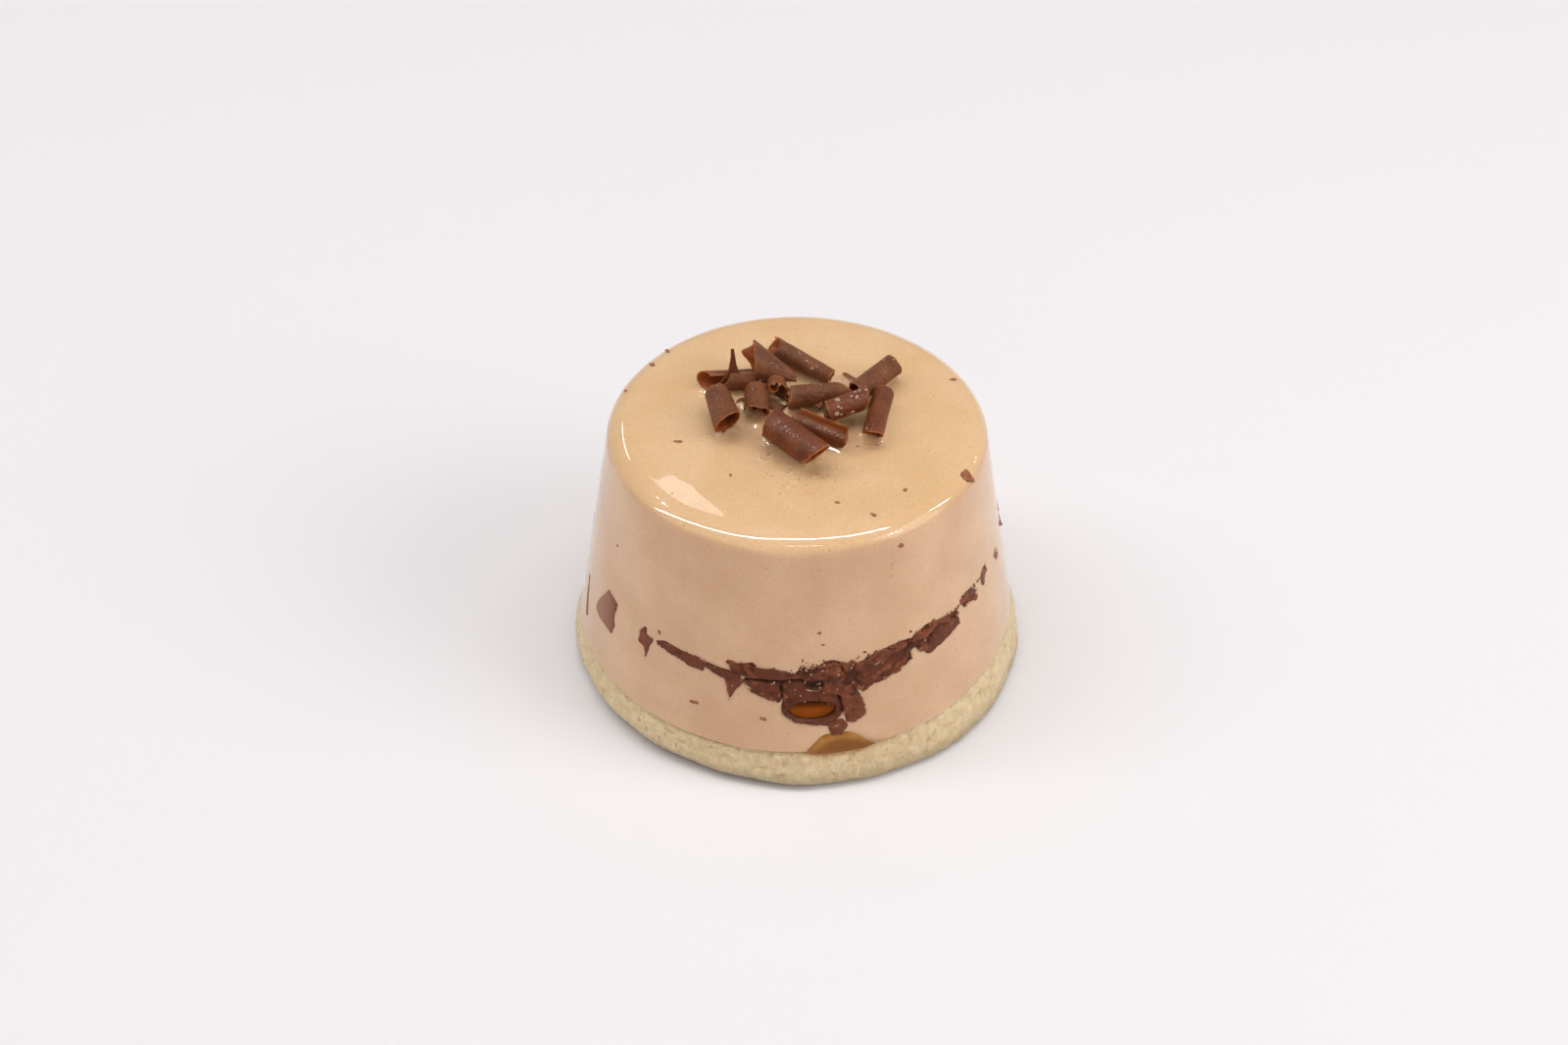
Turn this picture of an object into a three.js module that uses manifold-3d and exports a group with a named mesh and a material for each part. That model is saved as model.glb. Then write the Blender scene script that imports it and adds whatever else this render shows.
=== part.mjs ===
// A small chocolate mousse cake: a tapered round of mousse on a sponge base, a bed of broken chocolate
// that runs through it and shows at the side, and a heap of chocolate curls on top.
// Millimetres, +Z up, the origin at the middle of the flat underside, the front facing -Y.
import * as THREE from 'three'
import { mergeVertices } from 'three/addons/utils/BufferGeometryUtils.js'
import Module from 'manifold-3d'

const wasm = await Module()
wasm.setup()

// ---- driving dimensions -------------------------------------------------------------------------

const CAKE_HEIGHT = 44 // underside to the flat of the top, without the curls
const BASE_RADIUS = 35.5 // the cone of the side, carried down to the underside
const TOP_RADIUS = 28.4 // the same cone, carried up to the flat of the top
const RIM_DROP = 2.9 // how far below the top the rounded rim meets the side
const RIM_REACH = 3.2 // how far in from the corner the rounded rim meets the top
const SHOULDER_START = 15 // radius where the top begins to fall towards the rim
const SHOULDER_FALL = 0.7 // how much it has fallen by the corner
const JOINT_HEIGHT = 7.1 // height of the line between sponge and mousse, at the front
const JOINT_RISE = 1.6 // how much higher that line is at the right
const SPONGE_FLARE = 0.4 // how far the sponge stands out of the cone at left and right
const SPONGE_EDGE = 1.7 // rounding of the sponge's lower edge
const SPONGE_UNDERCUT = 2.6 // extra rounding of that edge at the front left
const GAP = 0.3 // kept between neighbouring pieces

const BED_RADIUS = 30.5 // chocolate bed inside the mousse
const BED_THICKNESS = 2.2
const BED_HEIGHT = 21.5 // its middle, on the axis of the cake
const BED_SLOPE = 0.06 // rise of the bed for each millimetre towards +X
const FLAKE_ROOT_RADIUS = 25 // radius where a flake of the bed that reaches the side begins

const SHEET = 0.45 // thickness of the shaved chocolate
const ROUND = 72 // segments round the cake

const radians = THREE.MathUtils.degToRad

// ---- colours ------------------------------------------------------------------------------------

const material = (color, roughness) => new THREE.MeshStandardMaterial({ color, roughness, metalness: 0 })
const mousseMaterial = material(0xdcb48c, 0.25)
const spongeMaterial = material(0xd6c08c, 0.85)
const bedMaterial = material(0x6b4035, 0.35)
const caramelMaterial = material(0xa85a10, 0.15)
const curlMaterial = material(0x6a3e28, 0.5)

// ---- geometry helpers ---------------------------------------------------------------------------

// A closed geometry from corner positions and triangles, with its faces pointing out.
function closedGeometry(points, triangles) {
  let volume = 0
  for (const [a, b, c] of triangles) {
    volume += points[a].dot(new THREE.Vector3().crossVectors(points[b], points[c]))
  }
  const geometry = new THREE.BufferGeometry().setFromPoints(points)
  geometry.setIndex(triangles.flatMap(([a, b, c]) => (volume > 0 ? [a, b, c] : [a, c, b])))
  return geometry
}

// A body of revolution whose profile may change with the angle: profileAt(angle) lists [radius, height]
// from the axis at the bottom to the axis at the top, always with the same number of points.
// The angle is 0 at the front and grows towards the right.
function revolved(profileAt) {
  const points = []
  const triangles = []
  const rows = profileAt(0).length - 2
  for (let segment = 0; segment < ROUND; segment++) {
    const angle = (segment / ROUND) * Math.PI * 2
    for (const [radius, height] of profileAt(angle).slice(1, -1)) {
      points.push(new THREE.Vector3(radius * Math.sin(angle), -radius * Math.cos(angle), height))
    }
  }
  const bottom = points.push(new THREE.Vector3(0, 0, profileAt(0)[0][1])) - 1
  const top = points.push(new THREE.Vector3(0, 0, profileAt(0)[rows + 1][1])) - 1
  for (let segment = 0; segment < ROUND; segment++) {
    const here = segment * rows
    const next = ((segment + 1) % ROUND) * rows
    triangles.push([bottom, next, here], [top, here + rows - 1, next + rows - 1])
    for (let row = 0; row < rows - 1; row++) {
      triangles.push([here + row, next + row, next + row + 1], [here + row, next + row + 1, here + row + 1])
    }
  }
  return closedGeometry(points, triangles)
}

// A closed thin sheet: pointAt(along, around, face) gives its outer face for 0 and its inner for 1.
function closedSheet(cellsAlong, cellsAround, pointAt) {
  const points = []
  const index = (i, j, face) => (face * (cellsAlong + 1) + i) * (cellsAround + 1) + j
  for (const face of [0, 1]) {
    for (let i = 0; i <= cellsAlong; i++) {
      for (let j = 0; j <= cellsAround; j++) points.push(pointAt(i / cellsAlong, j / cellsAround, face))
    }
  }
  const triangles = []
  const quad = (a, b, c, d) => triangles.push([a, b, c], [a, c, d])
  for (let i = 0; i < cellsAlong; i++) {
    for (let j = 0; j < cellsAround; j++) {
      quad(index(i, j, 0), index(i + 1, j, 0), index(i + 1, j + 1, 0), index(i, j + 1, 0))
      quad(index(i, j, 1), index(i, j + 1, 1), index(i + 1, j + 1, 1), index(i + 1, j, 1))
    }
    quad(index(i, 0, 0), index(i, 0, 1), index(i + 1, 0, 1), index(i + 1, 0, 0))
    const last = cellsAround
    quad(index(i, last, 0), index(i + 1, last, 0), index(i + 1, last, 1), index(i, last, 1))
  }
  for (let j = 0; j < cellsAround; j++) {
    quad(index(0, j, 0), index(0, j + 1, 0), index(0, j + 1, 1), index(0, j, 1))
    const last = cellsAlong
    quad(index(last, j, 0), index(last, j, 1), index(last, j + 1, 1), index(last, j + 1, 0))
  }
  return closedGeometry(points, triangles)
}

function solidOf(geometry) {
  const bare = geometry.clone()
  bare.deleteAttribute('normal')
  bare.deleteAttribute('uv')
  const merged = mergeVertices(bare, 1e-4)
  return new wasm.Manifold(new wasm.Mesh({
    numProp: 3,
    vertProperties: new Float32Array(merged.attributes.position.array),
    triVerts: new Uint32Array(merged.index.array),
  }))
}

function geometryOf(solid) {
  const { vertProperties, triVerts } = solid.getMesh()
  const geometry = new THREE.BufferGeometry()
  geometry.setAttribute('position', new THREE.BufferAttribute(vertProperties, 3))
  geometry.setIndex(new THREE.BufferAttribute(triVerts, 1))
  return geometry
}

const joined = solids => solids.reduce((sum, solid) => sum.add(solid))

// ---- the round of mousse and its sponge -----------------------------------------------------------

const coneRadius = height => BASE_RADIUS - (height / CAKE_HEIGHT) * (BASE_RADIUS - TOP_RADIUS)
const jointHeight = angle => JOINT_HEIGHT + JOINT_RISE * Math.max(0, Math.sin(angle)) ** 3

function topHeight(radius) {
  const share = Math.max(0, radius - SHOULDER_START) / (TOP_RADIUS - SHOULDER_START)
  return CAKE_HEIGHT - SHOULDER_FALL * share ** 2
}

// The rounded rim, from the side up to the top.
const RIM_HANDLE = 0.58
const rimFoot = new THREE.Vector2(coneRadius(CAKE_HEIGHT - RIM_DROP), CAKE_HEIGHT - RIM_DROP)
const rimHead = new THREE.Vector2(TOP_RADIUS - RIM_REACH, topHeight(TOP_RADIUS - RIM_REACH))
const rimCorner = new THREE.Vector2(coneRadius(CAKE_HEIGHT - SHOULDER_FALL), CAKE_HEIGHT - SHOULDER_FALL)
const rim = new THREE.CubicBezierCurve(
  rimFoot,
  rimFoot.clone().lerp(rimCorner, RIM_HANDLE),
  rimHead.clone().lerp(rimCorner, RIM_HANDLE),
  rimHead,
).getPoints(6).map(({ x, y }) => [x, y])

function mousseProfile(angle) {
  const joint = jointHeight(angle) + GAP / 2
  const sideLevels = [18, 30]
  const shoulderRadii = [22, 18.5, SHOULDER_START]
  return [
    [0, JOINT_HEIGHT + GAP / 2],
    [coneRadius(joint), joint],
    ...sideLevels.map(height => [coneRadius(height), height]),
    ...rim,
    ...shoulderRadii.map(radius => [radius, topHeight(radius)]),
    [0, CAKE_HEIGHT],
  ]
}

// The sponge bulges a little out of the cone, and its lower edge is rounded, most at the front left.
function spongeProfile(angle) {
  const joint = jointHeight(angle) - GAP / 2
  const flare = SPONGE_FLARE * Math.sin(angle) ** 2
  const fromUndercut = Math.cos(angle + radians(45))
  const edge = SPONGE_EDGE + SPONGE_UNDERCUT * Math.max(0, fromUndercut) ** 3
  const crumb = 0.15 * Math.cos(8 * angle) + 0.1 * Math.cos(18 * angle)
  const wall = height => coneRadius(height) + flare * Math.min(1, (joint - height) / 4) + crumb
  const lowerEdge = [0, 0.35, 0.7, 1].map(share => {
    const height = edge * share
    const inset = edge * (1 - Math.sqrt(1 - (1 - share) ** 2))
    return [wall(edge) - inset, height]
  })
  return [
    [0, 0],
    ...lowerEdge,
    [wall((edge + joint) / 2), (edge + joint) / 2],
    [coneRadius(joint), joint],
    [0, JOINT_HEIGHT - GAP / 2],
  ]
}

const mousseBody = solidOf(revolved(mousseProfile))

// ---- the chocolate bed ----------------------------------------------------------------------------

// Outlines of the broken pieces where they show at the side: [angle in degrees from the front towards
// the right, height in millimetres].
const SHOWING_FLAKES = [
  // far left piece, under the glaze
  [[-70.5, 15.6], [-66.5, 15], [-59.6, 15.4], [-58.6, 17],
    [-59.4, 18.6], [-58.2, 21.4], [-63.5, 21.9], [-68.5, 18]],
  // spiked piece at the left
  [[-47.4, 20.6], [-45.2, 22.2], [-44.6, 20.8], [-42, 20.7],
    [-43.4, 19], [-44.2, 16.7], [-45, 18.5], [-47, 18.7]],
  // long sliver
  [[-41, 20.9], [-38.2, 21.7], [-25, 21.2], [-25.4, 19.6], [-28.5, 19.5], [-40.6, 20.4]],
  // thin link to the fang
  [[-26.5, 21.2], [-15.5, 20.6], [-15, 19.3], [-19, 19], [-26, 20.4]],
  // fang
  [[-20, 19.9], [-14.5, 19.7], [-14.5, 18.9], [-16.6, 17.4], [-18, 15.5], [-18.6, 17.6]],
  // block left of the middle, with small points along its top
  [[-19.5, 22.2], [-18.6, 22.7], [-16, 22.3], [-11.6, 23], [-10.8, 21.9],
    [-6, 22.2], [0, 20.8], [-4, 19.4], [-17, 20.1]],
  // rounded lump under it
  [[-14.2, 20.2], [-5, 20], [-4.4, 17.2], [-8, 16.7], [-12, 17.6], [-14.6, 19.3]],
  // mouth of the curl that lies in the bed
  [[-4.4, 21.4], [-3.9, 16], [-3.2, 14.1], [-0.5, 12.9], [4, 12.1], [8.6, 11.9], [11, 13.4], [11, 21.4]],
  // tooth beside the mouth
  [[9, 20.8], [14, 20.8], [16, 17.4], [17.7, 13.4], [16.5, 12.3], [12.8, 13.2], [10, 14.6]],
  // crumb under the mouth
  [[7.6, 12.6], [11.5, 12.9], [13, 11.6], [11.6, 10.4], [8.6, 10.3]],
  // mass right of the middle
  [[-1, 21.4], [1, 22.6], [4, 22.2], [7.5, 23.5], [9.5, 23.6],
    [13, 22.6], [17, 22.4], [21, 23.4], [17.5, 17.2], [8, 19]],
  [[16.8, 22.4], [21, 23.4], [28, 24], [32.3, 23.8], [32, 20.2],
    [30.4, 19.4], [24, 18.2], [20.5, 18], [17, 16.9]],
  // slab at the right
  [[31.8, 23.6], [37, 24.9], [42, 24.4], [49.5, 23.9], [49.6, 21.2], [37.4, 19.4], [35, 20.8], [31.8, 22]],
  // triangle and chips at the far right
  [[50.8, 24.2], [52, 25.4], [56.8, 25.4], [59.6, 23.6], [59, 22.3], [52.5, 23.2]],
  [[62, 24.9], [63.6, 26.1], [66.2, 26.2], [65.2, 24.6], [62.6, 23.4]],
  [[72.4, 24.6], [74.5, 25.6], [77, 24], [75, 22.6]],
]

// The back, which carries on in the same way: pieces of uneven width and height between two angles.
const BACK_FROM = 92
const BACK_TO = 276
const BACK_PIECES = 13

function bedHeight(angle) {
  return BED_HEIGHT + BED_SLOPE * BED_RADIUS * Math.sin(radians(angle))
}

function backFlakes() {
  const flakes = []
  for (let piece = 0; piece < BACK_PIECES; piece++) {
    const share = (piece + 0.5) / BACK_PIECES
    const middle = BACK_FROM + (BACK_TO - BACK_FROM) * share + 2 * Math.sin(5.1 * piece)
    const half = 4.6 + 2.4 * Math.sin(2.3 * piece + 1)
    const rise = 1.5 + 0.6 * Math.sin(3.7 * piece)
    const fall = 1.7 + 1.3 * Math.sin(1.9 * piece + 2)
    const height = bedHeight(middle)
    flakes.push([
      [middle - half, height + 0.6 * rise],
      [middle - 0.4 * half, height + rise],
      [middle + half, height + 0.8 * rise],
      [middle + 0.8 * half, height - 0.7 * fall],
      [middle + 0.1 * half * Math.sin(piece), height - 1.3 * fall],
      [middle - 0.9 * half, height - 0.4 * fall],
    ])
  }
  return flakes
}

// An outline with every edge moved outwards by a margin.
function grown(outline, margin) {
  const turn = THREE.ShapeUtils.area(outline) > 0 ? 1 : -1
  return outline.map((corner, i) => {
    const before = outline[(i + outline.length - 1) % outline.length]
    const after = outline[(i + 1) % outline.length]
    const outward = (from, to) => {
      return new THREE.Vector2(to.y - from.y, from.x - to.x).normalize().multiplyScalar(turn)
    }
    const first = outward(before, corner)
    const second = outward(corner, after)
    const miter = first.clone().add(second).divideScalar(Math.max(0.5, 1 + first.dot(second)))
    return corner.clone().addScaledVector(miter, margin)
  })
}

// Stands a shape drawn in (tangent, height) upright on the side of the cake, extruded outwards.
function standingPrism(shape, angle, fromRadius, toRadius) {
  const geometry = new THREE.ExtrudeGeometry(shape, {
    depth: toRadius - fromRadius,
    bevelEnabled: false,
    curveSegments: 6,
  })
  geometry.translate(0, 0, fromRadius)
  const tangent = new THREE.Vector3(Math.cos(angle), Math.sin(angle), 0)
  const outward = new THREE.Vector3(Math.sin(angle), -Math.cos(angle), 0)
  const up = new THREE.Vector3(0, 0, 1)
  return geometry.applyMatrix4(new THREE.Matrix4().makeBasis(tangent, up, outward))
}

function flakeSolid(corners, margin) {
  const middle = radians(corners.reduce((sum, [angle]) => sum + angle, 0) / corners.length)
  const outline = corners.map(([angle, height]) =>
    new THREE.Vector2(coneRadius(height) * Math.sin(radians(angle) - middle), height))
  const shape = new THREE.Shape(margin ? grown(outline, margin) : outline)
  return solidOf(standingPrism(shape, middle, FLAKE_ROOT_RADIUS - margin, BASE_RADIUS + 5))
}

// The crushed bed inside: a thin, uneven, slightly sloping disc.
function bedSolid(margin) {
  const outline = []
  for (let step = 0; step < 40; step++) {
    const angle = (step / 40) * Math.PI * 2
    const radius = BED_RADIUS + margin + 0.8 * Math.sin(5 * angle) + 0.6 * Math.sin(11 * angle + 2)
    outline.push(new THREE.Vector2(radius * Math.cos(angle), radius * Math.sin(angle)))
  }
  const thickness = BED_THICKNESS + 2 * margin
  const shape = new THREE.Shape(outline)
  const geometry = new THREE.ExtrudeGeometry(shape, { depth: thickness, bevelEnabled: false })
  geometry.translate(0, 0, -thickness / 2)
  geometry.rotateY(-Math.atan(BED_SLOPE))
  geometry.translate(0, 0, BED_HEIGHT)
  return solidOf(geometry)
}

// The curl that lies in the bed and points outwards: an oval tube with caramel in its mouth.
const MOUTH = { angle: radians(3.8), height: 14.9, halfWidth: 3.5, halfHeight: 1.75 }
const TUBE_WALL = 0.9
const TUBE_ROOT_RADIUS = 14

function ovalPrism(margin, fromRadius, toRadius) {
  const shape = new THREE.Shape()
  const { angle, height, halfWidth, halfHeight } = MOUTH
  shape.absellipse(0, height, halfWidth + margin, halfHeight + margin, 0, Math.PI * 2, false, 0)
  return solidOf(standingPrism(shape, angle, fromRadius, toRadius))
}

function makeBed() {
  const flakes = [...SHOWING_FLAKES, ...backFlakes()]
  const outside = BASE_RADIUS + 5
  const withMargin = margin => joined([
    bedSolid(margin),
    ...flakes.map(corners => flakeSolid(corners, margin)),
    ovalPrism(TUBE_WALL + margin, TUBE_ROOT_RADIUS - margin, coneRadius(MOUTH.height) - 1),
  ])
  const bore = ovalPrism(0, TUBE_ROOT_RADIUS + TUBE_WALL, outside)
  const bed = withMargin(0).subtract(bore).intersect(mousseBody)
  const mousse = mousseBody.subtract(withMargin(GAP).add(bore))
  const caramelFace = coneRadius(MOUTH.height) - 0.5
  const caramel = ovalPrism(-GAP, TUBE_ROOT_RADIUS + TUBE_WALL + GAP, caramelFace)
  return { bed, mousse, caramel }
}

// ---- the curls ------------------------------------------------------------------------------------

// A shaving rolled about its own +X axis. Round the axis the angle is 0 at the top and grows towards +Y.
//   length   of the roll
//   from, to angles in degrees of its inner and outer free edges: more than a turn is a spiral
//   inner, outer  radius at those two edges
//   opening  how late the spiral opens: 1 evenly, 3 only near the outer edge
//   taper    how much thinner the roll is at its end
//   startSlant, endSlant  [millimetres, angle]: how far that end runs on at that side of the roll
//   wing     [millimetres, angle, width]: a pointed flap that reaches out of the start
//   outerStart  how much later than the inner edge the outer edge starts
function curlGeometry({
  length, from, to, inner, outer, opening = 1, taper = 0,
  startSlant = [0, 0], endSlant = [0, 0], wing = [0, 0, 1], outerStart = 0, cellsAlong = 3, cellsAround = 18,
}) {
  const cut = ([amount, side], angle) => 0.5 * amount * (1 + Math.cos(angle - radians(side)))
  return closedSheet(cellsAlong, cellsAround, (along, around, face) => {
    const angle = radians(from + (to - from) * around)
    const radius = inner + (outer - inner) * around ** opening - taper * along - face * SHEET
    const flap = wing[0] * Math.exp(-(((from + (to - from) * around - wing[1]) / wing[2]) ** 2))
    const start = -length / 2 - cut(startSlant, angle) - flap + outerStart * Math.max(0, around - 0.6) / 0.4
    const end = length / 2 + cut(endSlant, angle)
    const x = start + (end - start) * along
    return new THREE.Vector3(x, radius * Math.sin(angle), radius * Math.cos(angle))
  })
}

// A torn sliver that stands up from the free edge of a roll: wide at its foot and thin above.
function sliverGeometry({ at, side, foot, height, halfWidth, spread }) {
  const outline = []
  for (const share of [0, 0.12, 0.3, 0.6, 1]) {
    outline.push([halfWidth + spread * Math.exp(-4.5 * share), foot + height * share])
  }
  const mirrored = outline.map(([x, z]) => [-x, z]).reverse()
  const shape = new THREE.Shape([...outline, ...mirrored].map(([x, z]) => new THREE.Vector2(at + x, z)))
  const geometry = new THREE.ExtrudeGeometry(shape, { depth: SHEET, bevelEnabled: false })
  return geometry.rotateX(Math.PI / 2).translate(0, side + SHEET / 2, 0)
}

// Where a curl lies: the middle of its axis, lift above the top of the mousse, heading of its +X axis
// seen from above, and tilt of that end upwards, in degrees.
function placed(mesh, { x, y, lift, heading, tilt = 0 }) {
  mesh.position.set(x, y, CAKE_HEIGHT + lift)
  mesh.rotation.set(0, -radians(tilt), radians(heading), 'ZYX')
  return mesh
}

const CURLS = {
  curl_front: {
    sheet: {
      length: 7.4, from: -200, to: 185, inner: 2.1, outer: 2.7, startSlant: [2, 110],
      endSlant: [3.4, 0],
    },
    place: { x: -1, y: -8.5, lift: 3, heading: -48.5 },
  },
  curl_front_scroll: {
    sheet: {
      length: 8, from: 470, to: 66, inner: 1.2, outer: 2.15, opening: 4, endSlant: [1.8, -50],
      cellsAround: 22,
    },
    place: { x: 2.9, y: -5.1, lift: 2.05, heading: -33 },
  },
  curl_left_front: {
    sheet: { length: 5.5, from: -195, to: 190, inner: 1.6, outer: 2.15, taper: -0.4, endSlant: [3.3, -50] },
    place: { x: -11.55, y: -0.5, lift: 2.95, heading: -76 },
  },
  curl_spiked: {
    sheet: {
      length: 6.4, from: -385, to: -20, inner: 1.3, outer: 1.8, startSlant: [2.4, 110], outerStart: 3,
      cellsAround: 20,
    },
    sliver: { at: -0.05, side: -0.6, foot: 1.1, height: 4.9, halfWidth: 0.3, spread: 1.8 },
    place: { x: -9.6, y: 7, lift: 2.1, heading: 4 },
  },
  curl_cone: {
    sheet: {
      length: 5.2, from: -100, to: 190, inner: 3.1, outer: 3.1, taper: 2.4, startSlant: [3.2, 75],
      endSlant: [0.6, -50], wing: [2, 120, 22], cellsAround: 26,
    },
    place: { x: -2.8, y: 7.3, lift: 3.25, heading: -25, tilt: -9 },
  },
  curl_back: {
    sheet: {
      length: 9.4, from: -195, to: 175, inner: 1.3, outer: 1.9, taper: 0.3, startSlant: [3.4, 139],
      endSlant: [1.2, -40],
    },
    place: { x: 1.15, y: 10.7, lift: 2.2, heading: -42 },
  },
  curl_barrel: {
    sheet: {
      length: 3.5, from: -100, to: 240, inner: 2, outer: 0.8, opening: 4, endSlant: [2.7, 12],
      cellsAround: 16,
    },
    place: { x: -6, y: 2.8, lift: 1.5, heading: -90 },
  },
  curl_tight_scroll: {
    sheet: { length: 1.8, from: -300, to: 150, inner: 0.76, outer: 2.9, opening: 4, cellsAround: 24 },
    place: { x: -3.6, y: 4.3, lift: 2.92, heading: -86 },
  },
  curl_middle_right: {
    sheet: {
      length: 6.4, from: -190, to: 175, inner: 1.5, outer: 2.1, taper: 0.3, startSlant: [1, -120],
      endSlant: [2.8, -95],
    },
    place: { x: 2.5, y: 2.5, lift: 2.4, heading: 11 },
  },
  curl_right_back: {
    sheet: {
      length: 8.3, from: -190, to: 180, inner: 1.5, outer: 2.05, startSlant: [0.8, -60],
      endSlant: [0.88, 140],
    },
    place: { x: 11.98, y: 6.5, lift: 2.42, heading: 50 },
  },
  curl_dewy: {
    sheet: {
      length: 4.8, from: -190, to: 165, inner: 1.45, outer: 2, startSlant: [0.9, -60],
      endSlant: [1.6, 30],
    },
    place: { x: 7.12, y: -1.33, lift: 3.27, heading: 27, tilt: 3 },
  },
  curl_right_front: {
    sheet: { length: 8.6, from: -190, to: 175, inner: 1.3, outer: 1.85, endSlant: [2.8, 0] },
    place: { x: 12.1, y: -0.9, lift: 2.15, heading: -101 },
  },
  curl_splinter: {
    sheet: { length: 3.2, from: -35, to: 35, inner: 0.55, outer: 0.55, cellsAlong: 2, cellsAround: 2 },
    place: { x: 8.2, y: 8.9, lift: 0.6, heading: -56, tilt: 13 },
  },
}

function curlMesh({ sheet, sliver, place }) {
  const roll = curlGeometry(sheet)
  const geometry = sliver ? geometryOf(solidOf(roll).add(solidOf(sliverGeometry(sliver)))) : roll
  return placed(new THREE.Mesh(geometry, curlMaterial), place)
}

const spongeBase = new THREE.Mesh(revolved(spongeProfile), spongeMaterial)
spongeBase.name = 'sponge_base'

const { bed, mousse, caramel } = makeBed()
const cake = new THREE.Group()
cake.add(spongeBase)
for (const [name, solid, look] of [
  ['mousse', mousse, mousseMaterial],
  ['chocolate_layer', bed, bedMaterial],
  ['caramel_filling', caramel, caramelMaterial],
]) {
  const mesh = new THREE.Mesh(geometryOf(solid), look)
  mesh.name = name
  cake.add(mesh)
}

for (const [name, curl] of Object.entries(CURLS)) {
  const mesh = curlMesh(curl)
  mesh.name = name
  cake.add(mesh)
}

export default cake
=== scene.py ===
# %% [markdown]
# # A chocolate mousse cake
# The cake is a tapered round of mousse on a sponge base. A bed of broken chocolate runs through it and
# shows round its side, with caramel in the mouth of one curl, and a heap of chocolate curls lies on the
# glazed top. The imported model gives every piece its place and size. This file builds the fine surface of
# each one in mesh code and gives it a material made from nodes. Sizes are in millimetres, as on a baker's
# mould, and one helper turns them into Blender's metres. An angle round the cake is 0 at the front and
# grows towards the right.

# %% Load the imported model
import math
from itertools import islice, product

import bpy
import numpy as np
from mathutils import Euler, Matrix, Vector
from mathutils.kdtree import KDTree


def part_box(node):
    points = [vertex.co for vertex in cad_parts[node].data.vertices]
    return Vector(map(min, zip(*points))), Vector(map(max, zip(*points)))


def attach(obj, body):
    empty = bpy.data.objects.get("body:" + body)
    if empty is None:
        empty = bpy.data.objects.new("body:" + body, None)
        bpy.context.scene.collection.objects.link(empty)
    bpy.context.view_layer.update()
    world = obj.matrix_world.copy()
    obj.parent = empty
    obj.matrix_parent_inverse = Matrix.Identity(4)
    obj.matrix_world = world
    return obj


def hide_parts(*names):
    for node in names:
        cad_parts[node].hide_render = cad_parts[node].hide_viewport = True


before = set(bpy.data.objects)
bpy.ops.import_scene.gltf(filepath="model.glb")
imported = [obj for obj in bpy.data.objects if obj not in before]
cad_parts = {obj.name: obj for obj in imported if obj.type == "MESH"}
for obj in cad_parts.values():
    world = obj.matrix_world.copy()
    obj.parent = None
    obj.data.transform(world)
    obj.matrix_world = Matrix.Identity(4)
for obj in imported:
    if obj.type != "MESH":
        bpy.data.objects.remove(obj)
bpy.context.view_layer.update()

MM = 0.001
print("packed nodes:", len(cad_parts))

# %% [markdown]
# ## The camera
# The cake is seen from above its rim, from the front, with a lens a little longer than normal. The camera
# stands where the ellipses of the rim and of the foot have the same roundness as in the photograph.

# %% Place the camera
CAMERA_PLACE = (-1.973, -290.08, 272.94)
CAMERA_PITCH = 40.72  # degrees below the horizon
CAMERA_LENS = 56.25  # for a picture 36 mm wide

camera = bpy.data.objects.new("camera", bpy.data.cameras.new("camera"))
camera.data.lens = CAMERA_LENS
camera.data.clip_start = 0.01
camera.location = Vector(CAMERA_PLACE) * MM
camera.rotation_euler = (math.radians(90 - CAMERA_PITCH), 0, 0)
bpy.context.scene.collection.objects.link(camera)
bpy.context.scene.camera = camera
print("camera at", tuple(round(x, 3) for x in camera.location))

# %% [markdown]
# ## Helpers for meshes
# Every surface here is a grid of points that a formula places, because a formula can be as fine as the
# picture needs and is easy to change. The points are kept row by row in numpy arrays, which keeps a fine
# mesh quick. A mesh can carry marks, which are values at its points that a material reads. Unevenness comes
# from one kind of smooth noise: random values on a lattice, eased from one to the next. The values are
# worked out from the lattice place and a seed, so each run gives the same cake.


# %% Make a mesh from points in millimetres
def add_piece(name, shape, material, stands_for=()):
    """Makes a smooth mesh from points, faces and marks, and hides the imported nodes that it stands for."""
    points, faces, marks = shape
    mesh = bpy.data.meshes.new(name)
    mesh.from_pydata((np.asarray(points) * MM).tolist(), [], faces)
    mesh.shade_smooth()
    for mark_name, values in marks.items():
        attribute = mesh.attributes.new(mark_name, "FLOAT", "POINT")
        attribute.data.foreach_set("value", np.asarray(values, np.float32))
    mesh.materials.append(material)
    piece = bpy.data.objects.new(name, mesh)
    bpy.context.scene.collection.objects.link(piece)
    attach(piece, "root")
    if stands_for:
        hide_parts(*stands_for)
    triangles = sum(len(face) - 2 for face in faces)
    print(f"{name}: {len(points)} points, {triangles} triangles")
    return piece


def grid_faces(rows, columns, closed=False, first=0):
    """The quads of a grid of points stored row by row. closed joins the last column to the first."""
    index = first + np.arange(rows * columns).reshape(rows, columns)
    if closed:
        index = np.hstack([index, index[:, :1]])
    return np.stack([index[:-1, :-1], index[:-1, 1:], index[1:, 1:], index[1:, :-1]], -1).reshape(-1, 4)


def end_fans(rows, columns):
    """The triangles from the first and the last row of a closed grid to the two points stored after it."""
    count = rows * columns
    here = np.arange(columns)
    after = np.roll(here, -1)
    last = count - columns
    from_first = np.stack([np.full(columns, count), after, here], -1)
    from_last = np.stack([np.full(columns, count + 1), last + here, last + after], -1)
    return from_first, from_last


def round_faces(rows, columns):
    """The faces of a body of revolution: a closed grid, then a bottom and a top point that close it."""
    base, lid = end_fans(rows, columns)
    return grid_faces(rows, columns, closed=True).tolist() + lid.tolist() + base.tolist()


# %% Smooth noise
LATTICE = np.array([73856093, 19349663, 83492791])  # three large primes, one for each direction


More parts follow.
